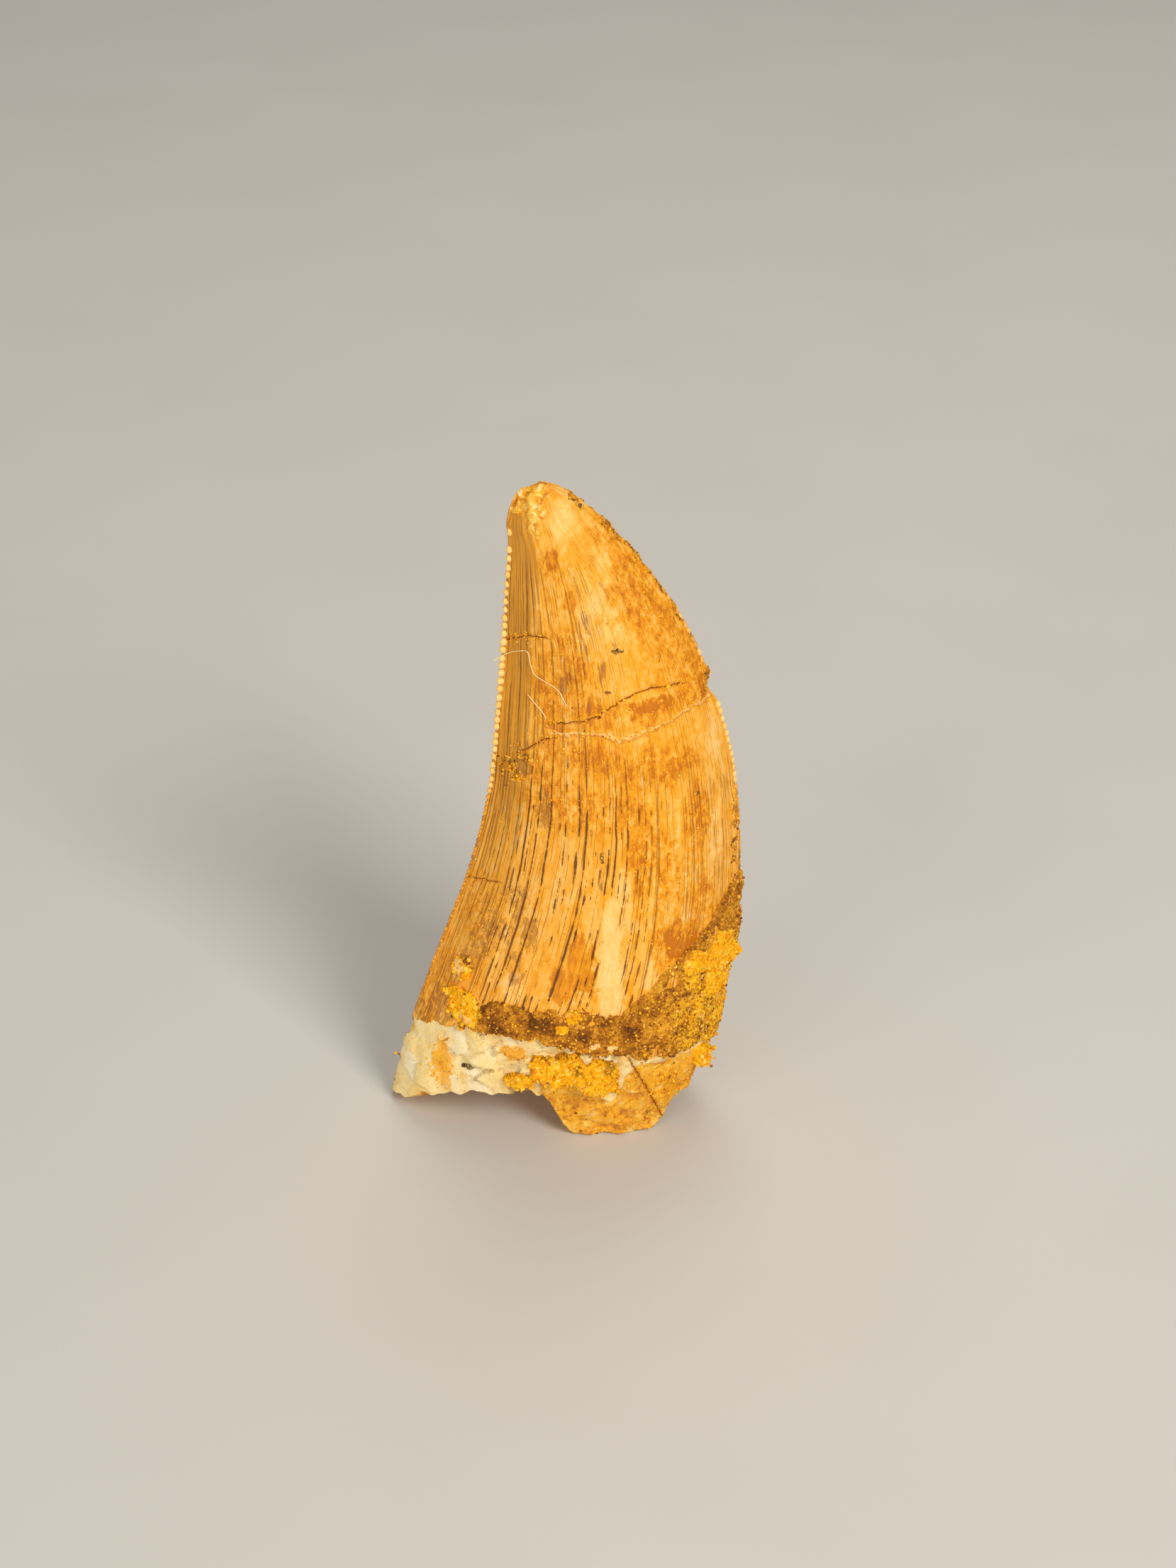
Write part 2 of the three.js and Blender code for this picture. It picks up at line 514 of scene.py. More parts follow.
# %% Lines and spots of the lower tooth
CRUST_TOP_FRONT = [
    (-13, 4), (-7.8, 7.4), (-6.7, 10.2), (-6.0, 10.9), (-3.9, 11.1), (-1.0, 11.5), (1.5, 11.7), (3.2, 10.9),
    (4.2, 11.5), (6.0, 13.2), (8.0, 15.4), (9.4, 16.2), (10.4, 17.4), (11.2, 18.8), (11.8, 20), (13, 20),
]
CRUST_FOOT_FRONT = [
    (-13, 6.5), (-10, 7.2), (-7.5, 8.5), (-6.0, 8.7), (-4.6, 8.4), (-3.0, 8.9), (-1.5, 9.0), (0.0, 8.6),
    (2.0, 8.2), (4.2, 7.9), (5.2, 7.2), (8.0, 6.6), (9.6, 6.4), (13, 6),
]
CRUST_TOP_BACK = [(-13, 3), (-9, 9), (-5, 10.5), (-1, 12.8), (3, 11.6), (7, 14.0), (10, 16.5), (13, 20)]
CRUST_FOOT_BACK = [(-13, 6), (-8, 8.0), (-4, 8.8), (0, 8.0), (4, 8.6), (8, 6.8), (13, 6)]
SAND_SPOTS = [
    (-1.2, 6.9, 1.1, 1.0), (0.6, 6.6, 1.5, 1.4), (2.6, 6.1, 1.4, 1.7), (-2.9, 5.6, 0.9, 0.6),
    (-7.1, 10.0, 1.3, 1.1), (-7.0, 12.6, 0.5, 0.8), (11.0, 13.2, 1.0, 2.6), (9.4, 14.6, 0.9, 0.8),
    (0.9, 11.2, 0.6, 0.45), (0.1, 10.2, 0.45, 0.35), (10.0, 5.0, 0.5, 0.9),
]
SAND_SPOTS_BACK = [(-4.0, 7.0, 2.0, 1.3), (5.5, 9.6, 1.6, 1.1), (-8.2, 6.4, 0.8, 1.2), (9.4, 12.0, 0.9, 2.0)]
PALE_SPOTS = [(-7.0, 12.7, 0.4, 0.6), (-6.7, 9.2, 0.5, 0.3), (3.6, 8.6, 0.4, 0.3), (2.4, 8.9, 0.4, 0.25)]
RUST_SPOTS = [(-4.4, 10.0, 1.2, 1.0), (-2.2, 10.2, 1.6, 0.8), (0.6, 9.6, 1.6, 0.7), (5.0, 9.8, 0.9, 0.7)]
YELLOW_SPOTS = [(-8.6, 5.0, 0.8, 1.8), (-11.5, 6.5, 0.8, 1.0), (-3.4, 7.5, 1.0, 0.5), (7.5, 4.0, 1.2, 2.0)]
OVERHANG = [
    (-13, -5), (-1.9, -5), (-1.5, 5.3), (0.0, 5.0), (1.5, 4.5), (2.7, 3.9), (3.6, 3.5), (4.1, 4.2),
    (4.6, 5.6), (5.6, 6.4), (8.0, 6.2), (10, 5.6), (13, 5),
]
LOBE_DEEP = 0.6
LOBE_SHALLOW = 0.12


def ground_fields(grid):
    """Where the lower tooth is bare root, crust, sand, pale or rusty crust, or recessed lobe: 0 to 1."""
    wander = 0.3 * rough(grid.points, 1.6, 11)
    level = grid.z + wander + 0.3 * rough(grid.points, 0.6, 14)
    top = side_line(grid, CRUST_TOP_FRONT, CRUST_TOP_BACK)
    foot = side_line(grid, CRUST_FOOT_FRONT, CRUST_FOOT_BACK)
    root = 1 - ease(level, foot - 0.12, foot + 0.12)
    band = (1 - ease(level, top - 0.12, top + 0.12)) * (1 - root)
    sand = side_patches(grid, SAND_SPOTS, SAND_SPOTS_BACK)
    edge = np.interp(grid.x, *np.transpose(OVERHANG))
    return {
        "root": root,
        "band": band,
        "sand": ease(sand + 0.4 * rough(grid.points, 0.9, 21), 0.35, 0.6),
        "lobe": grid.front * (1 - ease(grid.z + 0.4 * wander, edge - 0.2, edge + 0.2)),
        "pale": patches(grid, PALE_SPOTS) * grid.front,
        "rust": side_patches(grid, RUST_SPOTS, RUST_SPOTS),
        "yellowed": side_patches(grid, YELLOW_SPOTS, YELLOW_SPOTS),
    }


# %% The root's plates
PLATE_SIZE = 2.0
PLATE_RELIEF = 0.6
JOINT_DEPTH = 0.08
ROOT_SET_BACK = 0.12


def root_plates(grid):
    """Flat tilted plates: their height, how near a joint between two is, and each plate's own tone."""
    bend = np.stack([rough(grid.points, 1.1, seed) for seed in (41, 44, 47)], axis=-1)
    bent = grid.points * (1.0, 0.5, 1.3) + 0.18 * bend
    nearest, second, arrow, chances = cells(bent, PLATE_SIZE, 42)
    tilt = arrow[..., 0] * (chances[..., 1] - 0.5) + arrow[..., 2] * (chances[..., 2] - 0.5)
    return chances[..., 0] - 0.5 + 1.4 * tilt, 1 - ease(second - nearest, 0, 0.16), chances[..., 3]


def ground_height(grid, ground):
    """How far the root and the lobe stand out of the plain shape, or in it, in mm."""
    plate_height, plate_joint, _ = root_plates(grid)
    smooth_part = np.maximum(0.6 * (1 - ease(grid.x, -8.0, -6.0)), 0.75 * ground["lobe"])
    root_relief = (PLATE_RELIEF * plate_height - JOINT_DEPTH * plate_joint) * (1 - smooth_part)
    crumble = (0.08 + 0.1 * ground["lobe"]) * rough(grid.points, 0.9, 91, 4)
    root_relief = root_relief - ROOT_SET_BACK + crumble
    lobe_depth = LOBE_DEEP + (LOBE_SHALLOW - LOBE_DEEP) * ease(grid.x, 3.0, 5.5)
    return ground["root"] * root_relief - ground["lobe"] * lobe_depth


ground = ground_fields(whole_blade)
ground_relief = ground_height(whole_blade, ground)
print(f"The crust covers {ground['band'].mean():.0%} of the grid and bare root {ground['root'].mean():.0%}.")

# %% [markdown]
# ## Stains, cracks and chips of the enamel
#
# Iron in the ground stained the enamel honey and orange in clouds, and left other places clean. Two cracks
# run across the blade below its tip, with orange shade painted along them. The tip itself is broken off,
# and its break is full of yellow crystals. Along the hollow edge lies a flat olive flank, parted from the
# face by a low ridge. Its olive is partly its own stain and partly painted shade, as if it turned from the
# light.

# %% Spots of the enamel
HONEY_SPOTS = [
    (5.0, 43.0, 1.8, 3.0), (7.2, 39.5, 1.6, 3.0), (3.4, 46.6, 1.3, 1.2), (8.8, 36.8, 1.2, 2.0),
    (0.6, 38.0, 1.4, 3.0), (-0.5, 44.6, 0.6, 1.2), (-0.8, 35.5, 0.8, 1.8), (3.5, 34.6, 4.5, 1.0),
    (8.0, 35.0, 2.0, 0.8), (2.0, 31.2, 3.2, 1.2), (6.4, 30.6, 2.8, 1.6), (-1.5, 29.6, 1.2, 1.2),
    (4.6, 27.6, 1.2, 1.4), (5.6, 24.2, 1.1, 3.2), (7.6, 22.0, 1.1, 3.5), (9.2, 25.5, 0.9, 3.0),
    (7.4, 17.0, 1.2, 2.0), (9.8, 19.5, 0.8, 2.0), (-5.9, 16.8, 0.9, 2.5), (-8.4, 12.0, 1.2, 2.5),
    (-9.6, 8.8, 1.0, 2.0), (0.5, 27.4, 3.2, 1.8), (9.4, 16.8, 1.2, 2.2),
]
HONEY_SPOTS_BACK = [
    (-1.0, 41.0, 2.0, 4.0), (5.0, 38.0, 2.6, 3.0), (2.0, 28.0, 5.0, 2.0), (-3.0, 20.0, 2.0, 5.0),
    (8.0, 22.0, 2.0, 5.0), (3.0, 16.0, 1.6, 2.4), (-8.0, 13.0, 1.6, 3.0),
]
ORANGE_SPOTS = [
    (1.4, 15.4, 1.0, 2.2), (0.0, 13.4, 0.8, 1.3), (3.4, 47.0, 0.5, 0.6), (-0.4, 45.2, 0.4, 0.7),
    (0.7, 42.4, 0.4, 0.7), (8.4, 17.0, 1.2, 1.6), (6.2, 35.2, 1.6, 0.5), (0.2, 33.2, 1.2, 0.3),
    (9.7, 35.2, 0.5, 0.9),
]
CLEAN_SPOTS = [
    (3.4, 15.0, 0.8, 4.0), (0.2, 47.6, 0.6, 1.3), (2.6, 42.8, 0.7, 1.2), (3.6, 41.0, 0.7, 1.5),
    (1.6, 40.6, 0.5, 1.3), (2.9, 45.0, 0.5, 0.9), (10.3, 31.5, 0.6, 1.6), (4.4, 20.5, 0.6, 2.8),
    (10.6, 24.0, 0.5, 2.5), (-3.4, 12.3, 0.8, 1.0), (6.3, 14.4, 0.5, 1.2), (8.6, 18.0, 0.4, 1.4),
]
DUSTY_SPOTS = [
    (-3.0, 19.0, 1.0, 1.4), (-4.6, 16.6, 1.2, 1.6), (-5.8, 14.6, 0.9, 1.2), (-2.2, 17.0, 0.8, 1.5),
    (-3.2, 14.0, 0.7, 1.6), (-2.4, 29.8, 0.9, 1.4), (-6.6, 13.4, 0.8, 1.2), (-1.0, 26.4, 0.8, 1.4),
    (-8.4, 9.2, 1.2, 1.6), (-9.7, 8.0, 0.8, 1.0),
]
TONGUE_SPOTS = [(3.4, 13.6, 0.85, 2.8), (3.5, 18.0, 0.55, 3.0)]
DUSTY_SPOTS_BACK = [(4.0, 20.0, 1.5, 3.0), (-2.0, 33.0, 1.5, 2.0)]
SOOT_SPOTS = [
    (2.85, 24.0, 0.18, 0.55), (3.75, 39.15, 0.5, 0.22), (3.2, 36.3, 0.3, 0.14), (9.3, 28.1, 0.16, 0.16),
    (0.85, 35.1, 0.2, 0.14), (-6.8, 5.6, 0.5, 0.25),
]
MARK_SPOTS = [
    (2.1, 45.1, 0.2, 0.8), (2.75, 43.3, 0.25, 1.0), (3.75, 43.9, 0.2, 0.6), (2.75, 22.4, 0.25, 1.4),
    (3.6, 39.5, 0.5, 0.6), (1.6, 40.0, 0.5, 3.0), (0.4, 37.0, 0.6, 2.4), (2.8, 37.0, 0.5, 2.0),
]
FLANK_EDGE = [
    (0, 0.2), (16, 0.21), (22, 0.195), (30, 0.19), (34, 0.2), (39, 0.21), (44, 0.275), (47, 0.31),
    (50, 0.31),
]
TIP_BREAK = [
    (-2.55, 48.5, 0.75, 1.0), (-1.6, 48.3, 0.75, 1.1), (-1.5, 47.1, 0.42, 0.5), (-1.3, 49.4, 0.7, 0.4),
]
EDGE_CRUST = [(9.9, 35.4, 0.4, 0.8)]
FLANK_CRUST = [
    (-3.3, 28.7, 0.85, 0.95), (-2.4, 30.2, 0.5, 0.5), (-6.7, 13.2, 0.45, 0.6), (11.9, 23.0, 0.25, 3.0),
]
TIP_CRUST_PATH = [(0.5, 49.0), (1.9, 47.9), (3.4, 46.4), (5.4, 44.1), (7.4, 41.1), (8.8, 38.4)]

# %% Fields of the enamel
flank_width = np.interp(whole_blade.z, *np.transpose(FLANK_EDGE))
flank_strength = 0.45 * ease(whole_blade.z, 9, 16) + 0.55 * ease(whole_blade.z, 21, 29)
tip_noise = 0.3 * rough(whole_blade.points, 0.5, 31)
tip_front = ease(patches(whole_blade, TIP_BREAK) + tip_noise, 0.45, 0.6)
tip_back = ease(whole_blade.z + tip_noise, 48.3, 48.7) * ease(-whole_blade.x, 0.2, 0.7)
edge_lumps = patches(whole_blade, EDGE_CRUST)
flank_crust = patches(whole_blade, FLANK_CRUST) * ease(lumps(whole_blade.points, 0.45, 7), -0.5, 0.2)
tip_crust = 1 - ease(abs(line_gap(whole_blade, [TIP_CRUST_PATH])), 0.02, 0.28)
tip_crust = tip_crust * ease(lumps(whole_blade.points, 0.5, 5), -0.6, 0.2)
stains = {
    "honey": side_patches(whole_blade, HONEY_SPOTS, HONEY_SPOTS_BACK),
    "orange": side_patches(whole_blade, ORANGE_SPOTS, []),
    "clean": side_patches(whole_blade, CLEAN_SPOTS, []),
    "soot": side_patches(whole_blade, SOOT_SPOTS, []),
    "mark": side_patches(whole_blade, MARK_SPOTS, []),
    "tongue": side_patches(whole_blade, TONGUE_SPOTS, []),
    "dusty": side_patches(whole_blade, DUSTY_SPOTS, DUSTY_SPOTS_BACK),
    "flank": (1 - ease(whole_blade.run / flank_width, 0.82, 1.12)) * flank_strength,
    "tip_break": np.where(whole_blade.front, tip_front, tip_back),
    "crumbs": np.maximum.reduce([edge_lumps, flank_crust, 0.8 * tip_crust]),
}
print(f"The broken tip covers {stains['tip_break'].mean():.1%} of the grid.")

# %% Cracks
MAIN_CRACK = [
    (-0.5, 33.3), (0.5, 33.6), (1.6, 34.0), (2.5, 34.5), (3.4, 35.2), (4.4, 35.85), (5.2, 36.2), (6.0, 36.4),
    (7.0, 36.2), (8.0, 36.1),
]
LOWER_CRACK = [(-2.8, 30.2), (-1.9, 31.0), (-1.2, 31.8), (-0.5, 32.2)]
FLANK_CRACK = [(-3.7, 38.2), (-2.7, 38.8), (-1.9, 39.3), (-0.9, 39.5)]
LOW_CRACK = [(-6.3, 19.3), (-5.3, 19.6), (-4.4, 19.8)]
LOBE_CRACK = [(4.9, 7.0), (5.6, 5.5), (6.3, 3.8), (7.0, 1.9), (7.5, 0.6)]
BACK_CRACK = [(-4.2, 27.5), (-2.0, 28.3), (0.5, 27.6), (3.0, 28.6), (6.0, 29.4), (9.0, 29.0), (11.4, 30.0)]
PALE_CRACK = [
    (-0.2, 32.6), (0.9, 33.0), (2.0, 33.2), (3.0, 33.2), (4.1, 32.9), (5.2, 33.2), (6.3, 33.6), (7.3, 33.9),
    (8.2, 34.2), (9.0, 34.3), (10.1, 34.2),
]
front_gap = line_gap(whole_blade, [MAIN_CRACK, LOWER_CRACK, FLANK_CRACK, LOW_CRACK, LOBE_CRACK])
crack_gap = np.where(whole_blade.front, front_gap, line_gap(whole_blade, [BACK_CRACK]))
pale_gap = np.where(whole_blade.front, line_gap(whole_blade, [PALE_CRACK]), 99.0)
cracks = {
    "crack_gap": np.clip(crack_gap, -3, 3),
    "near_crack": 1 - ease(abs(crack_gap), 0.3, 0.5),
    "pale_gap": np.clip(pale_gap, -3, 3),
    "near_pale": 1 - ease(abs(pale_gap), 0.3, 0.6),
}
print(f"{(cracks['near_crack'] > 0).sum()} points of the grid lie by a crack.")

# %% [markdown]
# ## From fields to a surface
#
# Each field now pushes the plain shape out or in along its own normal. The root is split into plates, the
# lobe is set back, cracks are grooves, and the slab between the two cracks stands a little proud. The
# chip in the bowed edge is drawn in.

# %% Heights of the tooth
CHIP_Z = 34.9
CHIP_HALF_HEIGHT = 0.75
CHIP_DEPTH = 0.5
RIM_ROUGHNESS = 0.25
RIM_REACH = 0.07

enamel = (1 - ground["root"]) * (1 - ground["band"]) * (1 - stains["tip_break"])
lane_space = np.stack([34 * whole_blade.place, 14 * whole_blade.along, 3.0 * whole_blade.front], axis=-1)
ridge_gap = (whole_blade.run - flank_width) / (0.32 * flank_width)
flank_ridge = np.exp(-(ridge_gap**2)) * ease(whole_blade.z, 19, 27) * ease(HEIGHT - whole_blade.z, 1, 5)
slab = ease(pale_gap, -0.06, 0.06) * np.exp(-((pale_gap / 1.6) ** 2))
chip = ease(whole_blade.place, 0.86, 1.0) * np.exp(-(((whole_blade.z - CHIP_Z) / CHIP_HALF_HEIGHT) ** 2))
steps = {
    "ridges along the enamel": 0.045 * lumps(lane_space, 1.0, 51) * enamel,
    "dents": 0.05 * rough(whole_blade.points, 3.0, 61) * enamel,
    "honey crust": 0.03 * rough(whole_blade.points, 0.5, 65) * enamel * stains["honey"],
    "edge of the flat flank": 0.16 * flank_ridge,
    "cracks": -0.12 * np.exp(-((crack_gap / 0.16) ** 2)),
    "slab": 0.08 * slab,
    "ground": ground_relief,
    "crumbs": stains["crumbs"] * (0.05 + 0.14 * rough(whole_blade.points, 0.5, 81)),
    "tip": -stains["tip_break"] * (0.03 + 0.14 * rough(whole_blade.points, 0.6, 121)),
    "chip": -CHIP_DEPTH * chip,
    "lump by the chip": edge_lumps * (0.2 + 0.12 * rough(whole_blade.points, 0.6, 85)),
}
height_grid = sum(steps.values())
near_top = ease(HEIGHT - whole_blade.z, 0.0, 0.5)
shift = height_grid * (0.3 + 0.7 * near_top)
side = whole_blade.points + outward(whole_blade.points) * shift[..., None]
near_rim = ease(RIM_REACH - whole_blade.along, 0, RIM_REACH)
side[..., 2] += RIM_ROUGHNESS * rough(whole_blade.points, 0.9, 131) * near_rim
side[..., 2] = np.clip(side[..., 2], 0, HEIGHT)
print(f"Heights run from {height_grid.min():.2f} to {height_grid.max():.2f} mm.")

# %% The broken underside
UNDERSIDE_MIDDLE_X = (DISTAL_EDGE[0, 0] + MESIAL_EDGE[0, 0]) / 2
UNDERSIDE_ROUGHNESS = 0.5


def underside(rim, rows):
    """Rings that shrink from the rim to the middle: a flat band, then a hollow that rises as a parabola."""
    share = np.linspace(1, 0, rows + 1)[1:-1, None]
    inside = np.maximum(0, 1 - (share / RIM_SHARE) ** 2)
    x = UNDERSIDE_MIDDLE_X + (rim[:, 0] - UNDERSIDE_MIDDLE_X) * share
    y = rim[:, 1] * share
    z = rim[:, 2] + (HOLLOW_RISE - rim[:, 2]) * inside
    rings = np.stack([x, y, z], axis=-1)
    rings[..., 2] += UNDERSIDE_ROUGHNESS * rough(rings, 1.3, 141) * ease(1 - share, 0.15, 0.4)
    rings[..., 2] = np.maximum(rings[..., 2], 0)
    return rings


bottom = underside(side[0], UNDERSIDE_ROWS)
hollow_point = np.array([[UNDERSIDE_MIDDLE_X, 0, HOLLOW_RISE]])
tip_point = side[-1].mean(axis=0, keepdims=True)
tooth_rings = np.concatenate([bottom[::-1], side[:-1]])
tooth_points = np.concatenate([hollow_point, tooth_rings.reshape(-1, 3), tip_point])


# %% Faces of a closed grid
def closed_grid_faces(ring_count, columns):
    """Quads between neighbouring rings that close around, and a fan of triangles at each end."""
    first = 1 + np.arange(ring_count * columns).reshape(ring_count, columns)
    after = np.roll(first, -1, axis=1)
    quads = np.stack([first[:-1], after[:-1], after[1:], first[1:]], axis=-1).reshape(-1, 4)
    last = 1 + ring_count * columns
    start_fan = np.stack([np.zeros(columns, int), after[0], first[0]], axis=-1)
    end_fan = np.stack([np.full(columns, last), first[-1], after[-1]], axis=-1)
    return quads.tolist() + start_fan.tolist() + end_fan.tolist()


def with_underside(field, below):
    """A side's field for all of the tooth's points, with one value for the underside."""
    return np.concatenate([np.full(1 + bottom[..., 0].size, below), field[:-1].ravel(), field[-1, :1]])


UNDERSIDE_VALUES = {"root": 1.0, "lobe": 1.0}
_, plate_joint, plate_tone = root_plates(whole_blade)
side_values = {
    "front": whole_blade.front.astype(float), "plate_joint": plate_joint, "plate_tone": plate_tone,
    **{name: ground[name] for name in ("root", "lobe", "yellowed")}, **stains, **cracks,
}
tooth_values = {}
for name, field in side_values.items():
    tooth_values[name] = with_underside(field, UNDERSIDE_VALUES.get(name, 0.0))
print(f"Each point of the tooth holds {len(tooth_values)} values.")

# %% [markdown]
# ## The finish of the tooth
#
# Old enamel is cream where it is clean, and honey to orange where it is stained. Drying split it along
# its length into hundreds of thin dark lines. The lines follow the tooth, so they are drawn on a UV map
# whose two directions are the place across and the way along. Each lane of that map has one line, at a
# random place, and noise breaks the line into dashes.

# %% Colours of the finish
PALE_CREAM = colour(255, 214, 136)
CREAM = colour(254, 200, 110)
LIGHT_HONEY = colour(250, 182, 74)
HONEY = colour(245, 167, 32)
ORANGE = colour(234, 149, 14)
DEEP_ORANGE = colour(204, 116, 6)
ENAMEL_STOPS = [
    (0.0, PALE_CREAM), (0.2, CREAM), (0.34, LIGHT_HONEY), (0.48, HONEY), (0.62, ORANGE),
    (0.85, DEEP_ORANGE),
]
OLIVE_AND_SHADE = colour(194, 130, 34)
STREAK = colour(102, 54, 10)
RUST_STREAK = colour(176, 100, 14)
MARK_BROWN = colour(150, 92, 46)
DUST_BROWN = colour(170, 114, 44)
SOOT = colour(62, 48, 36)
ROOT_STOPS = [
    (0.2, colour(255, 242, 208)), (0.42, colour(255, 228, 160)),
    (0.6, colour(255, 210, 118)), (0.8, colour(240, 180, 74)),
]
LOBE_STOPS = [
    (0.26, colour(186, 106, 4)), (0.4, colour(236, 156, 4)),
    (0.54, colour(252, 186, 28)), (0.7, PALE_CREAM),
]
SAND_STOPS = [
    (0.1, colour(214, 130, 0)), (0.4, colour(250, 176, 2)),
    (0.75, colour(255, 198, 28)), (0.97, colour(255, 232, 140)),
]
TIP_STOPS = [
    (0.3, colour(158, 90, 14)), (0.42, colour(232, 148, 30)),
    (0.54, colour(254, 196, 66)), (0.66, colour(255, 236, 176)),
]
CRUST_STOPS = [
    (0.2, colour(104, 58, 12)), (0.38, colour(168, 102, 20)),
    (0.56, colour(216, 146, 32)), (0.8, colour(244, 186, 72)),
]


# %% Dark lines along the tooth
def streaks(paint, across, along, lanes, seed, half_width, dashes):
    """Thin broken lines: the width is cut into lanes, and each lane has one line at a random place.

    half_width is a share of the tooth's width, and dashes is how many fit along the tooth. Returns the
    line itself and a wider soft halo around it, both from 0 to 1."""
    drift = paint.noise(paint.vector(across * 6.0, along * 6.0, seed), 1.0, 2.0) * 1.6
    shiver = paint.noise(paint.vector(across * lanes, along * 40.0, seed), 1.0, 2.0) * 0.4
    position = across * lanes + drift + shiver
    lane = paint.math("FLOOR", position)
    chance = paint.node("TexWhiteNoise", {"noise_dimensions": "1D"}, {"W": lane + seed})
    gap = abs(position - lane - chance * 0.5 - 0.25) / lanes
    dash = paint.noise(paint.vector(lane * 7.31 + seed, along * dashes), 1.0, 4.0, 0.65)
    bold = (dash + (chance - 0.5) * 0.2).smooth(0.44, 0.62)
    crumbly = paint.noise(paint.vector(position * 2.0, along * 110.0, seed), 1.0, 2.0, 0.6)
    edge = gap - bold * half_width * (0.3 + crumbly * 1.4)
    line = (1 - edge.smooth(-0.0007, 0.0007)) * bold.smooth(0.0, 0.3)
    return line, (1 - gap.smooth(0.0, half_width * 4.0)) * bold


# %% The enamel's clouds of colour
def cell_tone(paint, place, scale):
    """One random number for each grain-sized cell."""
    cell = paint.node("TexVoronoi", inputs={"Vector": place, "Scale": scale}, output="Color")
    return paint.node("SeparateColor", inputs={0: cell})


def enamel_finish(paint, place, across, along):
    """The enamel's colour and the depth of its lines, from the cream ground up to the darkest line."""
    front = paint.attribute("front")
    flank = paint.attribute("flank")
    honey = paint.attribute("honey")
    height = place.part("Z")
    sideways = place.part("X")
    upper = height.smooth(27.0, 33.0)
    drawn_out = place.stretch(1.0, 1.0, 0.5)
    cloud = paint.noise(paint.vector(across * 12.0, along * 5.0, front * 3.0), 1.0, 4.0, 0.6)
    bands = paint.noise(paint.vector(across * 44.0, along * 7.0, front), 1.0, 4.0, 0.6)
    blots = paint.noise(drawn_out, 1.3, 6.0, 0.66, 0.8)
    flecks = paint.noise(drawn_out, 3.4, 3.0, 0.6, 0.5)
    fibrous = paint.noise(paint.vector(across * 56.0, along * 12.0, front), 1.0, 5.0, 0.75)
    sugar = cell_tone(paint, drawn_out, 4.2) - 0.5
    stain = paint.attribute("orange") + (blots - 0.5) * 2.0 + (bands - 0.5) * 1.2
    tongue = (paint.attribute("tongue") + (bands - 0.5) * 0.6).smooth(0.3, 0.6)
    level = 0.41 + honey * 0.18 - paint.attribute("clean") * 0.2 + stain.smooth(0.3, 0.6) * 0.3
    level = (level + sugar * honey * 0.2) * (1 - tongue * 0.42)
    level = level + (cloud - 0.5) * 0.5 + (bands - 0.5) * (0.6 - upper * 0.4)
    level = level + (blots.smooth(0.44, 0.56) - 0.5) * (0.13 + honey * 0.1)
    level = level + (flecks.smooth(0.42, 0.58) - 0.5) * (0.07 + honey * 0.15)
    base = level.ramp(ENAMEL_STOPS)
    # The flank's olive is partly its own stain and partly painted shade, darker as if turned away from the
    # light.
    base = (flank * 0.85).mix(base, (0.3 + (bands - 0.5) * 2.0).mix(OLIVE_AND_SHADE, HONEY))

    dusty = paint.attribute("dusty")
    dust = dusty * 0.5 + (fibrous - 0.5) * 1.6 + (flecks - 0.5) * 1.4 + sugar * 0.3
    base = (dust.smooth(0.3, 0.6) * dusty.smooth(0.0, 0.6) * 0.65).mix(base, DUST_BROWN)
    line, halo = streaks(paint, across, along, lanes=52.0, seed=3.0, half_width=0.0025, dashes=25.0)
    fine, _ = streaks(paint, across, along, lanes=84.0, seed=8.0, half_width=0.0012, dashes=14.0)
    flank_line, _ = streaks(paint, across, along, lanes=52.0, seed=5.0, half_width=0.0034, dashes=5.0)
    blotch, _ = streaks(paint, across, along, lanes=26.0, seed=12.0, half_width=0.007, dashes=16.0)
    middle = sideways.smooth(-2.5, -0.5) * (1 - sideways.smooth(3.0, 6.0))
    faint = paint.math("MAXIMUM", sideways.smooth(4.0, 7.5), 1 - sideways.smooth(-7.0, -4.5))
    below_tip = 1 - height.smooth(43.0, 46.0)
    low = (1 - upper * (0.45 + sideways.smooth(0.5, 3.5) * 0.5)) * (1 - faint * 0.5) * below_tip
    low = low * (1 - tongue) * (1 - flank * 0.7)
    broken = blots.smooth(0.45, 0.6)
    base = (blotch * upper * middle * below_tip * broken * 0.5).mix(base, MARK_BROWN)
    base = (halo * low * 0.45).mix(base, RUST_STREAK)
    base = (fine * (1 - upper * 0.5) * (1 - tongue) * below_tip * 0.6).mix(base, RUST_STREAK)
    dark = paint.math("MAXIMUM", line * low, flank_line * flank * below_tip * 0.8)
    base = (dark * 0.9).mix(base, (faint * 0.7).mix(STREAK, RUST_STREAK))
    grain = (flecks + blots) * (0.2 + honey * 0.8) + sugar * honey * 0.8
    return base, grain * 0.9 - dark - fine * 0.3


# %% The bare root
def root_finish(paint, place):
    """Broken dentine: cream and white plates, darker in their joints, stained yellow in patches."""
    cloud = paint.noise(place, 0.6, 4.0, 0.6)
    fine = paint.noise(place, 3.0, 4.0, 0.65)
    tone = paint.attribute("plate_tone") * 0.22 + cloud * 0.5 + fine * 0.4 - 0.17
    base = tone.ramp(ROOT_STOPS)
    stain = paint.noise(place, 0.8, 5.0, 0.65)
    yellowed = paint.attribute("yellowed") * 0.6 + (stain - 0.5) * 1.6 + (fine - 0.5) * 0.6
    base = (yellowed.smooth(0.22, 0.5) * 0.85).mix(base, SAND_STOPS[1][1])
    lobe = ((stain - 0.5) * 1.1 + (fine - 0.5) * 0.9 + 0.47).ramp(LOBE_STOPS)
    base = (paint.attribute("lobe") * 0.95).mix(base, lobe)
    joint = paint.attribute("plate_joint") * fine.smooth(0.42, 0.62) * place.part("X").smooth(-8.0, -6.0)
    return (joint * 0.4).mix(base, DUST_BROWN)


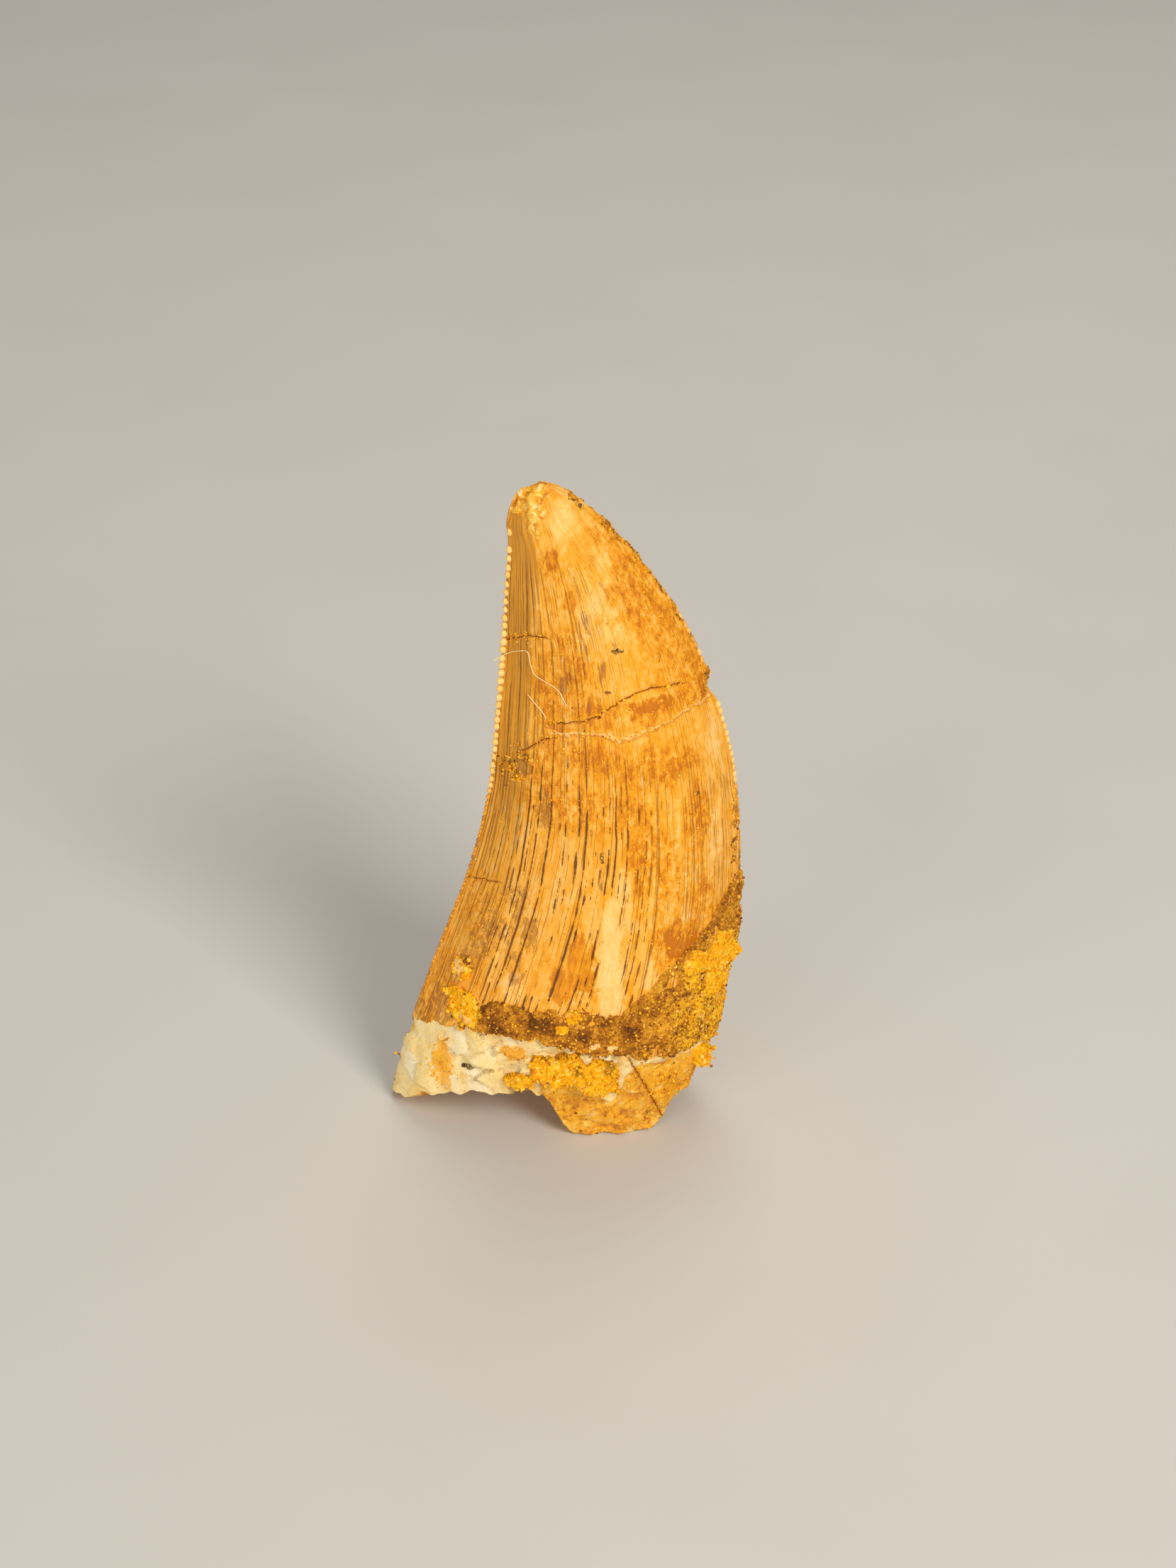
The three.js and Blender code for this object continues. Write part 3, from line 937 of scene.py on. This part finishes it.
# %% The tooth's material
def make_tooth_finish():
    """Enamel, root, crumbs of crust and broken tip, laid over each other by the mesh's own fields."""
    material, shader, paint = new_material("tooth_finish")
    place = paint.millimetres()
    lanes = paint.node("UVMap", {"uv_map": "lanes"})
    across, along = lanes.part("X"), lanes.part("Y")
    front = paint.attribute("front")
    ragged = (paint.noise(place, 2.4, 4.0, 0.65) - 0.5) * 0.7
    edged = {}
    for name in ("root", "crumbs", "tip_break"):
        edged[name] = (paint.attribute(name) + ragged).smooth(0.42, 0.58)

    base, relief = enamel_finish(paint, place, across, along)
    rust = (paint.noise(place, 2.0, 4.0, 0.65) + (cell_tone(paint, place, 4.0) - 0.5) * 0.3).ramp(CRUST_STOPS)
    tip = paint.noise(place, 1.6, 4.0, 0.7, 0.6).ramp(TIP_STOPS)
    base = edged["crumbs"].mix(base, rust)
    base = edged["root"].mix(base, root_finish(paint, place))
    base = edged["tip_break"].mix(base, tip)

    jagged = paint.noise(place, 2.6, 4.0, 0.65)
    pale_gap = paint.attribute("pale_gap") + (jagged - 0.5) * 1.3
    by_pale = paint.attribute("near_pale") * front
    # Painted shadow: a deep orange line just below the step of the raised slab at the pale crack.
    base = ((1 - abs(pale_gap + 0.16).smooth(0.03, 0.16)) * by_pale * 0.7).mix(base, DEEP_ORANGE)
    base = ((1 - abs(pale_gap).smooth(0.04, 0.16)) * by_pale * 0.65).mix(base, PALE_CREAM)
    crack_gap = abs(paint.attribute("crack_gap") + (jagged - 0.5) * 0.4)
    by_crack = paint.attribute("near_crack") * front
    # Painted shade: a deep orange band along both sides of each crack's groove.
    base = ((1 - crack_gap.smooth(0.03, 0.2)) * by_crack * 0.7).mix(base, DEEP_ORANGE)
    crack_line = (1 - crack_gap.smooth(0.012, 0.045)) * by_crack
    base = (crack_line * 0.8).mix(base, STREAK)
    torn = paint.noise(paint.vector(across * 64.0, along * 30.0), 1.0, 4.0, 0.7)
    mark = (paint.attribute("mark") * 0.55 + (torn - 0.5) * 2.4).smooth(0.5, 0.75)
    base = (mark * paint.attribute("mark").smooth(0.0, 0.5) * 0.7).mix(base, MARK_BROWN)
    smudge = (paint.attribute("soot") + ragged * 1.4).smooth(0.5, 0.8)
    base = (smudge * 0.75).mix(base, SOOT)

    worn = paint.math("MAXIMUM", edged["crumbs"], edged["root"])
    relief = relief * (1 - worn) + paint.noise(place, 6.0, 4.0, 0.65) * (0.3 + worn * 1.2) - crack_line
    bump = paint.node("Bump", inputs={"Strength": 0.8, "Distance": 0.1 * MM, "Height": relief})
    connect(material, shader, Base_Color=base, Roughness=0.42 + worn * 0.3, Normal=bump)
    return material


tooth_finish = make_tooth_finish()
print(f"The tooth's finish has {len(tooth_finish.node_tree.nodes)} nodes.")

# %% The tooth itself
tooth = make_piece(
    "tooth_detailed", tooth_points, closed_grid_faces(len(tooth_rings), COLUMNS), tooth_finish, tooth_values,
)
ring_run = whole_blade.run[0]
lanes_across = np.concatenate([np.where(whole_blade.front[0], ring_run, 2 - ring_run), [2.0]])
lanes_along = np.concatenate([np.linspace(-0.1, 0, len(bottom)), whole_blade.along[:-1, 0]])
corner_rings = np.arange(len(tooth_rings) - 1)[:, None, None] + np.array([0, 0, 1, 1])
corner_columns = np.arange(COLUMNS)[None, :, None] + np.array([0, 1, 1, 0])
quad_u, quad_v = np.broadcast_arrays(lanes_across[corner_columns], lanes_along[corner_rings])
quad_uv = np.stack([quad_u, quad_v], axis=-1).reshape(-1, 2)
fan_columns = np.arange(COLUMNS)[:, None] + np.array([0, 1, 0])
start_uv = np.stack([lanes_across[fan_columns], np.full(fan_columns.shape, -0.1)], axis=-1).reshape(-1, 2)
end_uv = np.stack([lanes_across[fan_columns], np.full(fan_columns.shape, 1.0)], axis=-1).reshape(-1, 2)
lanes_map = tooth.data.uv_layers.new(name="lanes")
lanes_map.uv.foreach_set("vector", np.concatenate([quad_uv, start_uv, end_uv]).astype(np.float32).ravel())
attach(tooth, "root")
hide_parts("tooth")

# %% [markdown]
# ## The sandstone crust
#
# The crust is a skin of cemented sand, rough down to single grains. The tooth's own grid is too coarse
# for that, so the crust is a second, finer grid around the lower tooth. Where there is crust it stands
# proud of the tooth, and everywhere else it dips under the tooth's surface, out of sight. Its edge is
# simply where the two surfaces cross, and so it is as ragged as the sand itself.

# %% Crust shape
CRUST_COLUMNS = 480
CRUST_ROWS = 200
CRUST_START = 0.004
CRUST_END = 0.42
CRUST_INNER_SHARES = np.array([0.84, 0.8, 0.8, 0.8])
CRUST_INNER_START = 10
CRUST_THICKNESS = 0.16
SAND_THICKNESS = 0.42
RUST_THICKNESS = 0.16
SINK = 0.35
SAND_GRAIN = 0.36
CRUST_GRAIN = 0.26

lower_blade = blade_grid(CRUST_COLUMNS, np.linspace(CRUST_START, CRUST_END, CRUST_ROWS))
lower_ground = ground_fields(lower_blade)
sand_dome, sand_tone = domes(lower_blade.points, SAND_GRAIN, 151)
fine_dome, fine_tone = domes(lower_blade.points, CRUST_GRAIN, 152)
sand_share = lower_ground["sand"]
cover = np.maximum(lower_ground["band"], sand_share) + 0.3 * rough(lower_blade.points, 0.5, 22)
cover = ease(cover, 0.4, 0.62) * (1 - ease(lower_blade.along, CRUST_END - 0.03, CRUST_END - 0.01))
crust_relief = 0.26 * rough(lower_blade.points, 1.1, 82, 4) + 0.2 * (1 - sand_share) * (fine_dome - 0.7)
sand_relief = 0.22 * (sand_dome - 0.7) + 0.12 * rough(lower_blade.points, 1.2, 86)
crust_relief = crust_relief + sand_share * sand_relief
thickness = CRUST_THICKNESS + (SAND_THICKNESS - CRUST_THICKNESS) * sand_share * lower_ground["root"]
thickness = thickness + RUST_THICKNESS * lower_ground["rust"]
sink = np.minimum(SINK, 0.6 * abs(lower_blade.y))
crust_height = ground_height(lower_blade, lower_ground) * (1 - 0.5 * cover)
crust_height = crust_height + cover * (thickness + crust_relief) - (1 - cover) * sink
crust_outer = lower_blade.points + outward(lower_blade.points) * crust_height[..., None]
crust_outer[..., 2] = np.maximum(crust_outer[..., 2], 0.05)
print(f"The crust stands {crust_height.max():.2f} mm proud at most.")

# %% Crust mesh
inner_rows = np.linspace(CRUST_ROWS - 1, CRUST_INNER_START, len(CRUST_INNER_SHARES)).round().astype(int)
inner_rings = lower_blade.points[inner_rows]
ring_middle = inner_rings.mean(axis=1, keepdims=True)
crust_inner = ring_middle + (inner_rings - ring_middle) * CRUST_INNER_SHARES[:, None, None]
crust_rings = np.concatenate([crust_outer, crust_inner])


def ring_of_rings_faces(ring_count, columns):
    """Quads of a grid that closes both ways: around each ring, and from the last ring to the first."""
    first = np.arange(ring_count * columns).reshape(ring_count, columns)
    after = np.roll(first, -1, axis=1)
    next_first = np.roll(first, -1, axis=0)
    next_after = np.roll(after, -1, axis=0)
    return np.stack([first, after, next_after, next_first], axis=-1).reshape(-1, 4)


def with_inside(field):
    """A field of the crust's outer rings, and 0 on its inner ones."""
    return np.concatenate([field, np.zeros((len(crust_inner), CRUST_COLUMNS))])


crust_values = {
    "sand": with_inside(sand_share),
    "pale": with_inside(lower_ground["pale"]),
    "rust": with_inside(lower_ground["rust"]),
    "tone": with_inside(np.where(sand_share > 0.5, sand_tone, fine_tone)),
    "relief": with_inside(crust_relief),
}


# %% Crust finish
def make_crust_finish():
    """Sandstone: brown to ochre grains, painted shade in hollows, rusty at the left, bright yellow on sand.
    """
    material, shader, paint = new_material("crust_finish", gloss=0.2)
    place = paint.millimetres()
    cloud = paint.noise(place, 0.7, 5.0, 0.7)
    speckle = cell_tone(paint, place, 5.0)
    fine = paint.noise(place, 5.0, 3.0, 0.7)
    tone = cloud * 1.2 + (speckle - 0.5) * 0.16 + (fine - 0.5) * 0.5 - paint.attribute("rust") * 0.16 - 0.13
    base = tone.ramp(CRUST_STOPS)
    glint = paint.attribute("tone") * 0.5 + (speckle - 0.5) * 0.35 + (fine - 0.5) * 0.8 + 0.3
    gold = glint.ramp(SAND_STOPS)
    to_right = place.part("X").smooth(3.0, 10.5) * (0.58 - place.part("Z").smooth(14.0, 17.0) * 0.4)
    dusting = paint.attribute("sand") + to_right + (cloud - 0.5) * 0.8 + (fine - 0.5) * 1.4
    base = dusting.smooth(0.4, 0.7).mix(base, gold)
    pale = (paint.attribute("pale") + (fine - 0.5) * 1.2).smooth(0.4, 0.65)
    base = pale.mix(base, PALE_CREAM)
    # Painted shade: the crust's low places are darkened towards its darkest brown.
    hollow = 1 - (paint.attribute("relief") + (fine - 0.5) * 0.2).smooth(-0.22, -0.05)
    base = (hollow * 0.65).mix(base, CRUST_STOPS[0][1])
    relief = fine + speckle * 0.3
    bump = paint.node("Bump", inputs={"Strength": 0.9, "Distance": 0.1 * MM, "Height": relief})
    connect(material, shader, Base_Color=base, Normal=bump)
    shader.inputs["Roughness"].default_value = 0.75
    return material


crust = make_piece(
    "sandstone_crust", crust_rings, ring_of_rings_faces(len(crust_rings), CRUST_COLUMNS).tolist(),
    make_crust_finish(), crust_values,
)
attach(crust, "root")

# %% [markdown]
# ## The serrations
#
# Both cutting edges carry a row of tiny rounded teeth, like the beads of a zip. They could be carved in
# the big mesh, but its grid would need far more rings. Instead each one is a small closed egg that is
# sunk in the edge, all joined in one mesh for each edge. Their spacing is read from a few stations,
# wide at mid-crown and narrow near the root, and they are worn away in some stretches.

# %% Serrations along an edge
BEAD_RINGS = 5
BEAD_COLUMNS = 8
DISTAL_PITCH = np.array([(5, 0.36), (24, 0.38), (28, 0.58), (46, 0.64), (50, 0.64)])
MESIAL_PITCH = np.array([(5, 0.3), (17, 0.3), (26, 0.5), (34, 0.62), (50, 0.5)])
DISTAL_TALL = np.array([(7, 0.0), (9, 0.55), (25, 0.65), (27.5, 1.0), (44, 1.0), (46.6, 0.75), (47, 0.0)])
MESIAL_TALL = np.array([
    (9, 0.0), (11, 0.8), (17, 0.8), (19, 0.35), (26, 0.45), (28, 1.0), (33.4, 1.0), (33.9, 0.0),
    (36.0, 0.0), (36.6, 0.6), (42.5, 0.45), (43.5, 0.0),
])


def bead_shape():
    """A unit egg as rings of a sphere with a point at each end."""
    polar = np.pi * (np.arange(BEAD_RINGS) + 1) / (BEAD_RINGS + 1)
    turn = 2 * np.pi * np.arange(BEAD_COLUMNS) / BEAD_COLUMNS
    ring = np.sin(polar)[:, None]
    egg = np.stack([np.cos(polar)[:, None] + 0 * turn, ring * np.cos(turn), ring * np.sin(turn)], axis=-1)
    return np.concatenate([[[1.0, 0, 0]], egg.reshape(-1, 3), [[-1.0, 0, 0]]])


def bead_spots(stations, pitch, tall, rng):
    """Where the beads of an edge are, as shares of its length, and how tall each one is, 0 to 1."""
    along = np.linspace(0, 1, 4000)
    path = spline(stations, along)
    length = np.linalg.norm(np.gradient(path, axis=0), axis=-1)
    count = np.cumsum(length / np.interp(path[:, 1], *pitch.T))
    number = np.arange(1, int(count[-1]))
    spot = np.interp(number + rng.uniform(-0.1, 0.1, len(number)), count, along)
    height = np.interp(spline(stations, spot)[:, 1], *tall.T, left=0, right=0)
    height = height * rng.uniform(0.8, 1.1, len(spot))
    keep = (height > 0.15) & (rng.uniform(size=len(spot)) > 0.03)
    return spot[keep], height[keep]


def serrations(name, stations, outward_x, pitch, tall, material, seed):
    """Eggs along an edge: each has a frame of the way out, the way along and Y, and a size from its pitch."""
    rng = np.random.default_rng(seed)
    spot, height = bead_spots(stations, pitch, tall, rng)
    centre = spline(stations, spot)
    way = spline(stations, spot + 1e-3) - spline(stations, spot - 1e-3)
    way = way / np.linalg.norm(way, axis=-1, keepdims=True)
    zero = np.zeros(len(spot))
    way_axis = np.stack([way[:, 0], zero, way[:, 1]], axis=-1)
    out_axis = outward_x * np.stack([way[:, 1], zero, -way[:, 0]], axis=-1)
    y_axis = np.cross(way_axis, out_axis)
    size = np.interp(centre[:, 1], *pitch.T)
    half_out = 0.42 * size * (0.35 + 0.65 * height)
    half_along = 0.5 * size * rng.uniform(0.88, 1.0, len(spot))
    middle = np.stack([centre[:, 0], TIP_LEAN * spot**2, centre[:, 1]], axis=-1)
    middle = middle - out_axis * (half_out - 0.02 + 0.16 * (1 - height))[:, None]
    egg = bead_shape()
    points = middle[:, None] + egg[:, :1] * (out_axis * half_out[:, None])[:, None]
    points = points + egg[:, 1:2] * (way_axis * half_along[:, None])[:, None]
    points = points + egg[:, 2:] * (y_axis * (0.4 * size)[:, None])[:, None]
    one = closed_grid_faces(BEAD_RINGS, BEAD_COLUMNS)
    faces = [tuple(corner + len(egg) * bead for corner in face) for bead in range(len(spot)) for face in one]
    fresh = np.clip(height * ease(centre[:, 1], 24, 28), 0, 1)
    values = {"fresh": np.repeat(fresh, len(egg)), "tone": np.repeat(rng.uniform(size=len(spot)), len(egg))}
    return make_piece(name, points, faces, material, values)


# %% The serrations' finish
def make_serration_finish():
    """Cream where the enamel is fresh, honey brown where it is worn, a little different on each one."""
    material, shader, paint = new_material("serration_finish")
    cloud = paint.noise(paint.millimetres(), 2.5, 3.0, 0.6)
    tone = paint.attribute("tone")
    fresh = paint.attribute("fresh") + (cloud - 0.5) * 0.8
    base = tone.mix(DUST_BROWN, HONEY)
    base = fresh.smooth(0.3, 0.75).mix(base, tone.mix(CREAM, PALE_CREAM))
    connect(material, shader, Base_Color=base, Roughness=0.5 - fresh * 0.12)
    return material


serration_finish = make_serration_finish()
SERRATED_EDGES = [
    ("distal_serrations", DISTAL_EDGE, -1, DISTAL_PITCH, DISTAL_TALL, serration_finish, 201),
    ("mesial_serrations", MESIAL_EDGE, 1, MESIAL_PITCH, MESIAL_TALL, serration_finish, 202),
]
for serrated_edge in SERRATED_EDGES:
    row = serrations(*serrated_edge)
    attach(row, "root")

# %% [markdown]
# ## Loose grains
#
# Grains stand out of the crust, fill the broken tip, and lie about on the root and the enamel. Thousands
# of them are needed, and each is a fraction of a millimetre across, so one grain is a twenty-sided solid
# with its corners pushed about, and all grains are one mesh. They are scattered by chance, more where a
# field is high, and each is turned and stretched at random.

# %% Shape of a grain
GOLDEN = (1 + 5**0.5) / 2
GRAIN_CORNERS = np.array([
    (-1, GOLDEN, 0), (1, GOLDEN, 0), (-1, -GOLDEN, 0), (1, -GOLDEN, 0), (0, -1, GOLDEN), (0, 1, GOLDEN),
    (0, -1, -GOLDEN), (0, 1, -GOLDEN), (GOLDEN, 0, -1), (GOLDEN, 0, 1), (-GOLDEN, 0, -1), (-GOLDEN, 0, 1),
]) / np.hypot(1, GOLDEN)
GRAIN_FACES = np.array([
    (0, 11, 5), (0, 5, 1), (0, 1, 7), (0, 7, 10), (0, 10, 11), (1, 5, 9), (5, 11, 4), (11, 10, 2), (10, 7, 6),
    (7, 1, 8), (3, 9, 4), (3, 4, 2), (3, 2, 6), (3, 6, 8), (3, 8, 9), (4, 9, 5), (2, 4, 11), (6, 2, 10),
    (8, 6, 7), (9, 8, 1),
])
GRAIN_SPREAD = 0.35
grain_rng = np.random.default_rng(301)


def grain_corners(places, normals, sizes):
    """Corners of every grain: the solid's own, pushed in or out, stretched, turned and set on the surface."""
    count = len(sizes)
    corner = GRAIN_CORNERS * grain_rng.uniform(0.72, 1.15, (count, len(GRAIN_CORNERS), 1))
    turned = np.linalg.qr(grain_rng.normal(size=(count, 3, 3)))[0]
    corner = corner * grain_rng.uniform(0.65, 1.2, (count, 1, 3)) @ turned
    return (places + normals * (0.1 * sizes)[:, None])[:, None] + corner * sizes[:, None, None]


def scatter(surface, normals, cover, count, radius):
    """Grains at random points of a grid, as likely as the cover says, each with a random radius."""
    step_around = np.roll(surface, -1, axis=1) - surface
    area = np.linalg.norm(np.cross(step_around, np.gradient(surface, axis=0)), axis=-1)
    chance = (cover * area).ravel()
    picked = grain_rng.choice(chance.size, count, p=chance / chance.sum())
    around, along = grain_rng.uniform(-0.5, 0.5, (2, count, 1))
    places = surface.reshape(-1, 3)[picked] + around * step_around.reshape(-1, 3)[picked]
    places = places + along * np.gradient(surface, axis=0).reshape(-1, 3)[picked]
    sizes = radius * np.exp(grain_rng.normal(0, GRAIN_SPREAD, count))
    return grain_corners(places, normals.reshape(-1, 3)[picked], sizes)


# %% Scattering the grains
crust_surface = (crust_outer, outward(crust_outer))
tooth_surface = (side, outward(side))
by_crack = np.exp(-((np.minimum(abs(crack_gap), abs(pale_gap)) / 0.25) ** 2)) * whole_blade.front * enamel
loose = enamel * (0.03 + stains["honey"] ** 2 + stains["dusty"]) * ease(whole_blade.z, 12, 16)
sooty = np.where(stains["soot"] > 0.5, stains["soot"], 0)
on_root = ground["root"] * (0.5 * ground["lobe"] + ground["yellowed"]) * whole_blade.front
# A kind of grain: its surface, where on it, how many, their radius, and the shares of yellow and black ones
GRAIN_KINDS = [
    (tooth_surface, on_root, 600, 0.065, 0.9, 0.0),
    (crust_surface, cover * (1 - sand_share), 2600, 0.075, 0.2, 0.0),
    (crust_surface, cover * sand_share, 1800, 0.095, 1.0, 0.0),
    (tooth_surface, stains["tip_break"], 70, 0.065, 1.0, 0.0),
    (tooth_surface, stains["crumbs"], 700, 0.06, 0.6, 0.04),
    (tooth_surface, flank_crust * (whole_blade.x < 0), 90, 0.09, 0.7, 0.1),
    (tooth_surface, sooty, 40, 0.07, 0.15, 0.6),
    (tooth_surface, loose, 3000, 0.045, 0.95, 0.0),
    (tooth_surface, by_crack, 420, 0.055, 0.9, 0.0),
]
scattered, yellow, dark = [], [], []
for surface, where, count, radius, yellow_share, dark_share in GRAIN_KINDS:
    scattered.append(scatter(*surface, where, count, radius))
    yellow.append(grain_rng.uniform(size=count) < yellow_share)
    dark.append(grain_rng.uniform(size=count) < dark_share)
grain_points = np.concatenate(scattered)
grain_points[..., 2] = np.clip(grain_points[..., 2], 0, HEIGHT)
grain_starts = len(GRAIN_CORNERS) * np.arange(len(grain_points))
grain_faces = (grain_starts[:, None, None] + GRAIN_FACES).reshape(-1, 3).tolist()
grain_values = {
    "yellow": np.repeat(np.concatenate(yellow), len(GRAIN_CORNERS)),
    "dark": np.repeat(np.concatenate(dark), len(GRAIN_CORNERS)),
    "tone": np.repeat(grain_rng.uniform(size=len(grain_points)), len(GRAIN_CORNERS)),
}


# %% The grains' finish
def make_grain_finish():
    """Brown or yellow quartz, a little different from grain to grain, and a few black bits."""
    material, shader, paint = new_material("grain_finish")
    cloud = paint.noise(paint.millimetres(), 4.0, 3.0, 0.6)
    tone = paint.attribute("tone") * 0.7 + (cloud - 0.5) * 0.5 + 0.15
    base = paint.attribute("yellow").mix(tone.ramp(CRUST_STOPS), tone.ramp(SAND_STOPS))
    base = (paint.attribute("dark") * 0.85).mix(base, SOOT)
    connect(material, shader, Base_Color=base, Roughness=0.5 + cloud * 0.3)
    return material


grains = make_piece("sand_grains", grain_points, grain_faces, make_grain_finish(), grain_values, smooth=False)
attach(grains, "root")

# %% [markdown]
# ## A stray fibre
#
# A thin pale thread of lint lies across the face below the tip. It is a round profile carried along a
# path: a few points chosen on the face, joined by the same spline as the edges, and lifted off the
# surface by a little more than its own radius.

# %% Fibre
FIBRE_RADIUS = 0.035
FIBRE_RINGS = 90
FIBRE_COLUMNS = 6
FIBRE_PATHS = [
    [(-4.4, 36.6), (-3.6, 37.2), (-2.8, 37.8), (-2.1, 38.1), (-1.9, 37.3), (-1.6, 36.6), (-0.9, 36.3),
     (-0.1, 35.9), (0.3, 35.3), (0.5, 34.9)],
    [(-2.1, 35.0), (-1.6, 34.5), (-1.1, 34.0), (-0.9, 33.6)],
]


def face_depth(x, z):
    """The Y of the front face at some places: that of the nearest point of the grid, evened along the way."""
    face = side[whole_blade.front]
    nearest = np.hypot(face[:, 0] - x[:, None], face[:, 2] - z[:, None]).argmin(axis=1)
    smoothing = np.ones(9) / 9
    return np.convolve(np.pad(face[nearest, 1], 4, mode="edge"), smoothing, mode="valid")


def tube(path, radius, columns):
    """A round profile carried along a path of points, with an end point at each end."""
    way = np.gradient(path, axis=0)
    way = way / np.linalg.norm(way, axis=-1, keepdims=True)
    aside = np.cross(way, (0, 1, 0))
    aside = aside / np.linalg.norm(aside, axis=-1, keepdims=True)
    lift = np.cross(way, aside)
    turn = 2 * np.pi * np.arange(columns) / columns
    around = np.cos(turn)[:, None] * aside[:, None] + np.sin(turn)[:, None] * lift[:, None]
    rings = path[:, None] + radius * around
    return np.concatenate([path[:1], rings.reshape(-1, 3), path[-1:]])


fibre_points, fibre_faces = [], []
for path in FIBRE_PATHS:
    x, z = spline(np.array(path), np.linspace(0, 1, FIBRE_RINGS)).T
    y = face_depth(x, z) - 1.6 * FIBRE_RADIUS
    start = sum(map(len, fibre_points))
    fibre_points.append(tube(np.stack([x, y, z], axis=-1), FIBRE_RADIUS, FIBRE_COLUMNS))
    for face in closed_grid_faces(FIBRE_RINGS, FIBRE_COLUMNS):
        fibre_faces.append([start + corner for corner in face])
fibre_material, fibre_shader, paint = new_material("lint_finish")
fibre_cloud = paint.noise(paint.millimetres(), 3.0)
fibre_colour = fibre_cloud.mix(colour(240, 200, 130), colour(255, 236, 190))
connect(fibre_material, fibre_shader, Base_Color=fibre_colour)
fibre_shader.inputs["Roughness"].default_value = 0.6
fibre = make_piece("lint_fibre", np.concatenate(fibre_points), fibre_faces, fibre_material)
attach(fibre, "root")
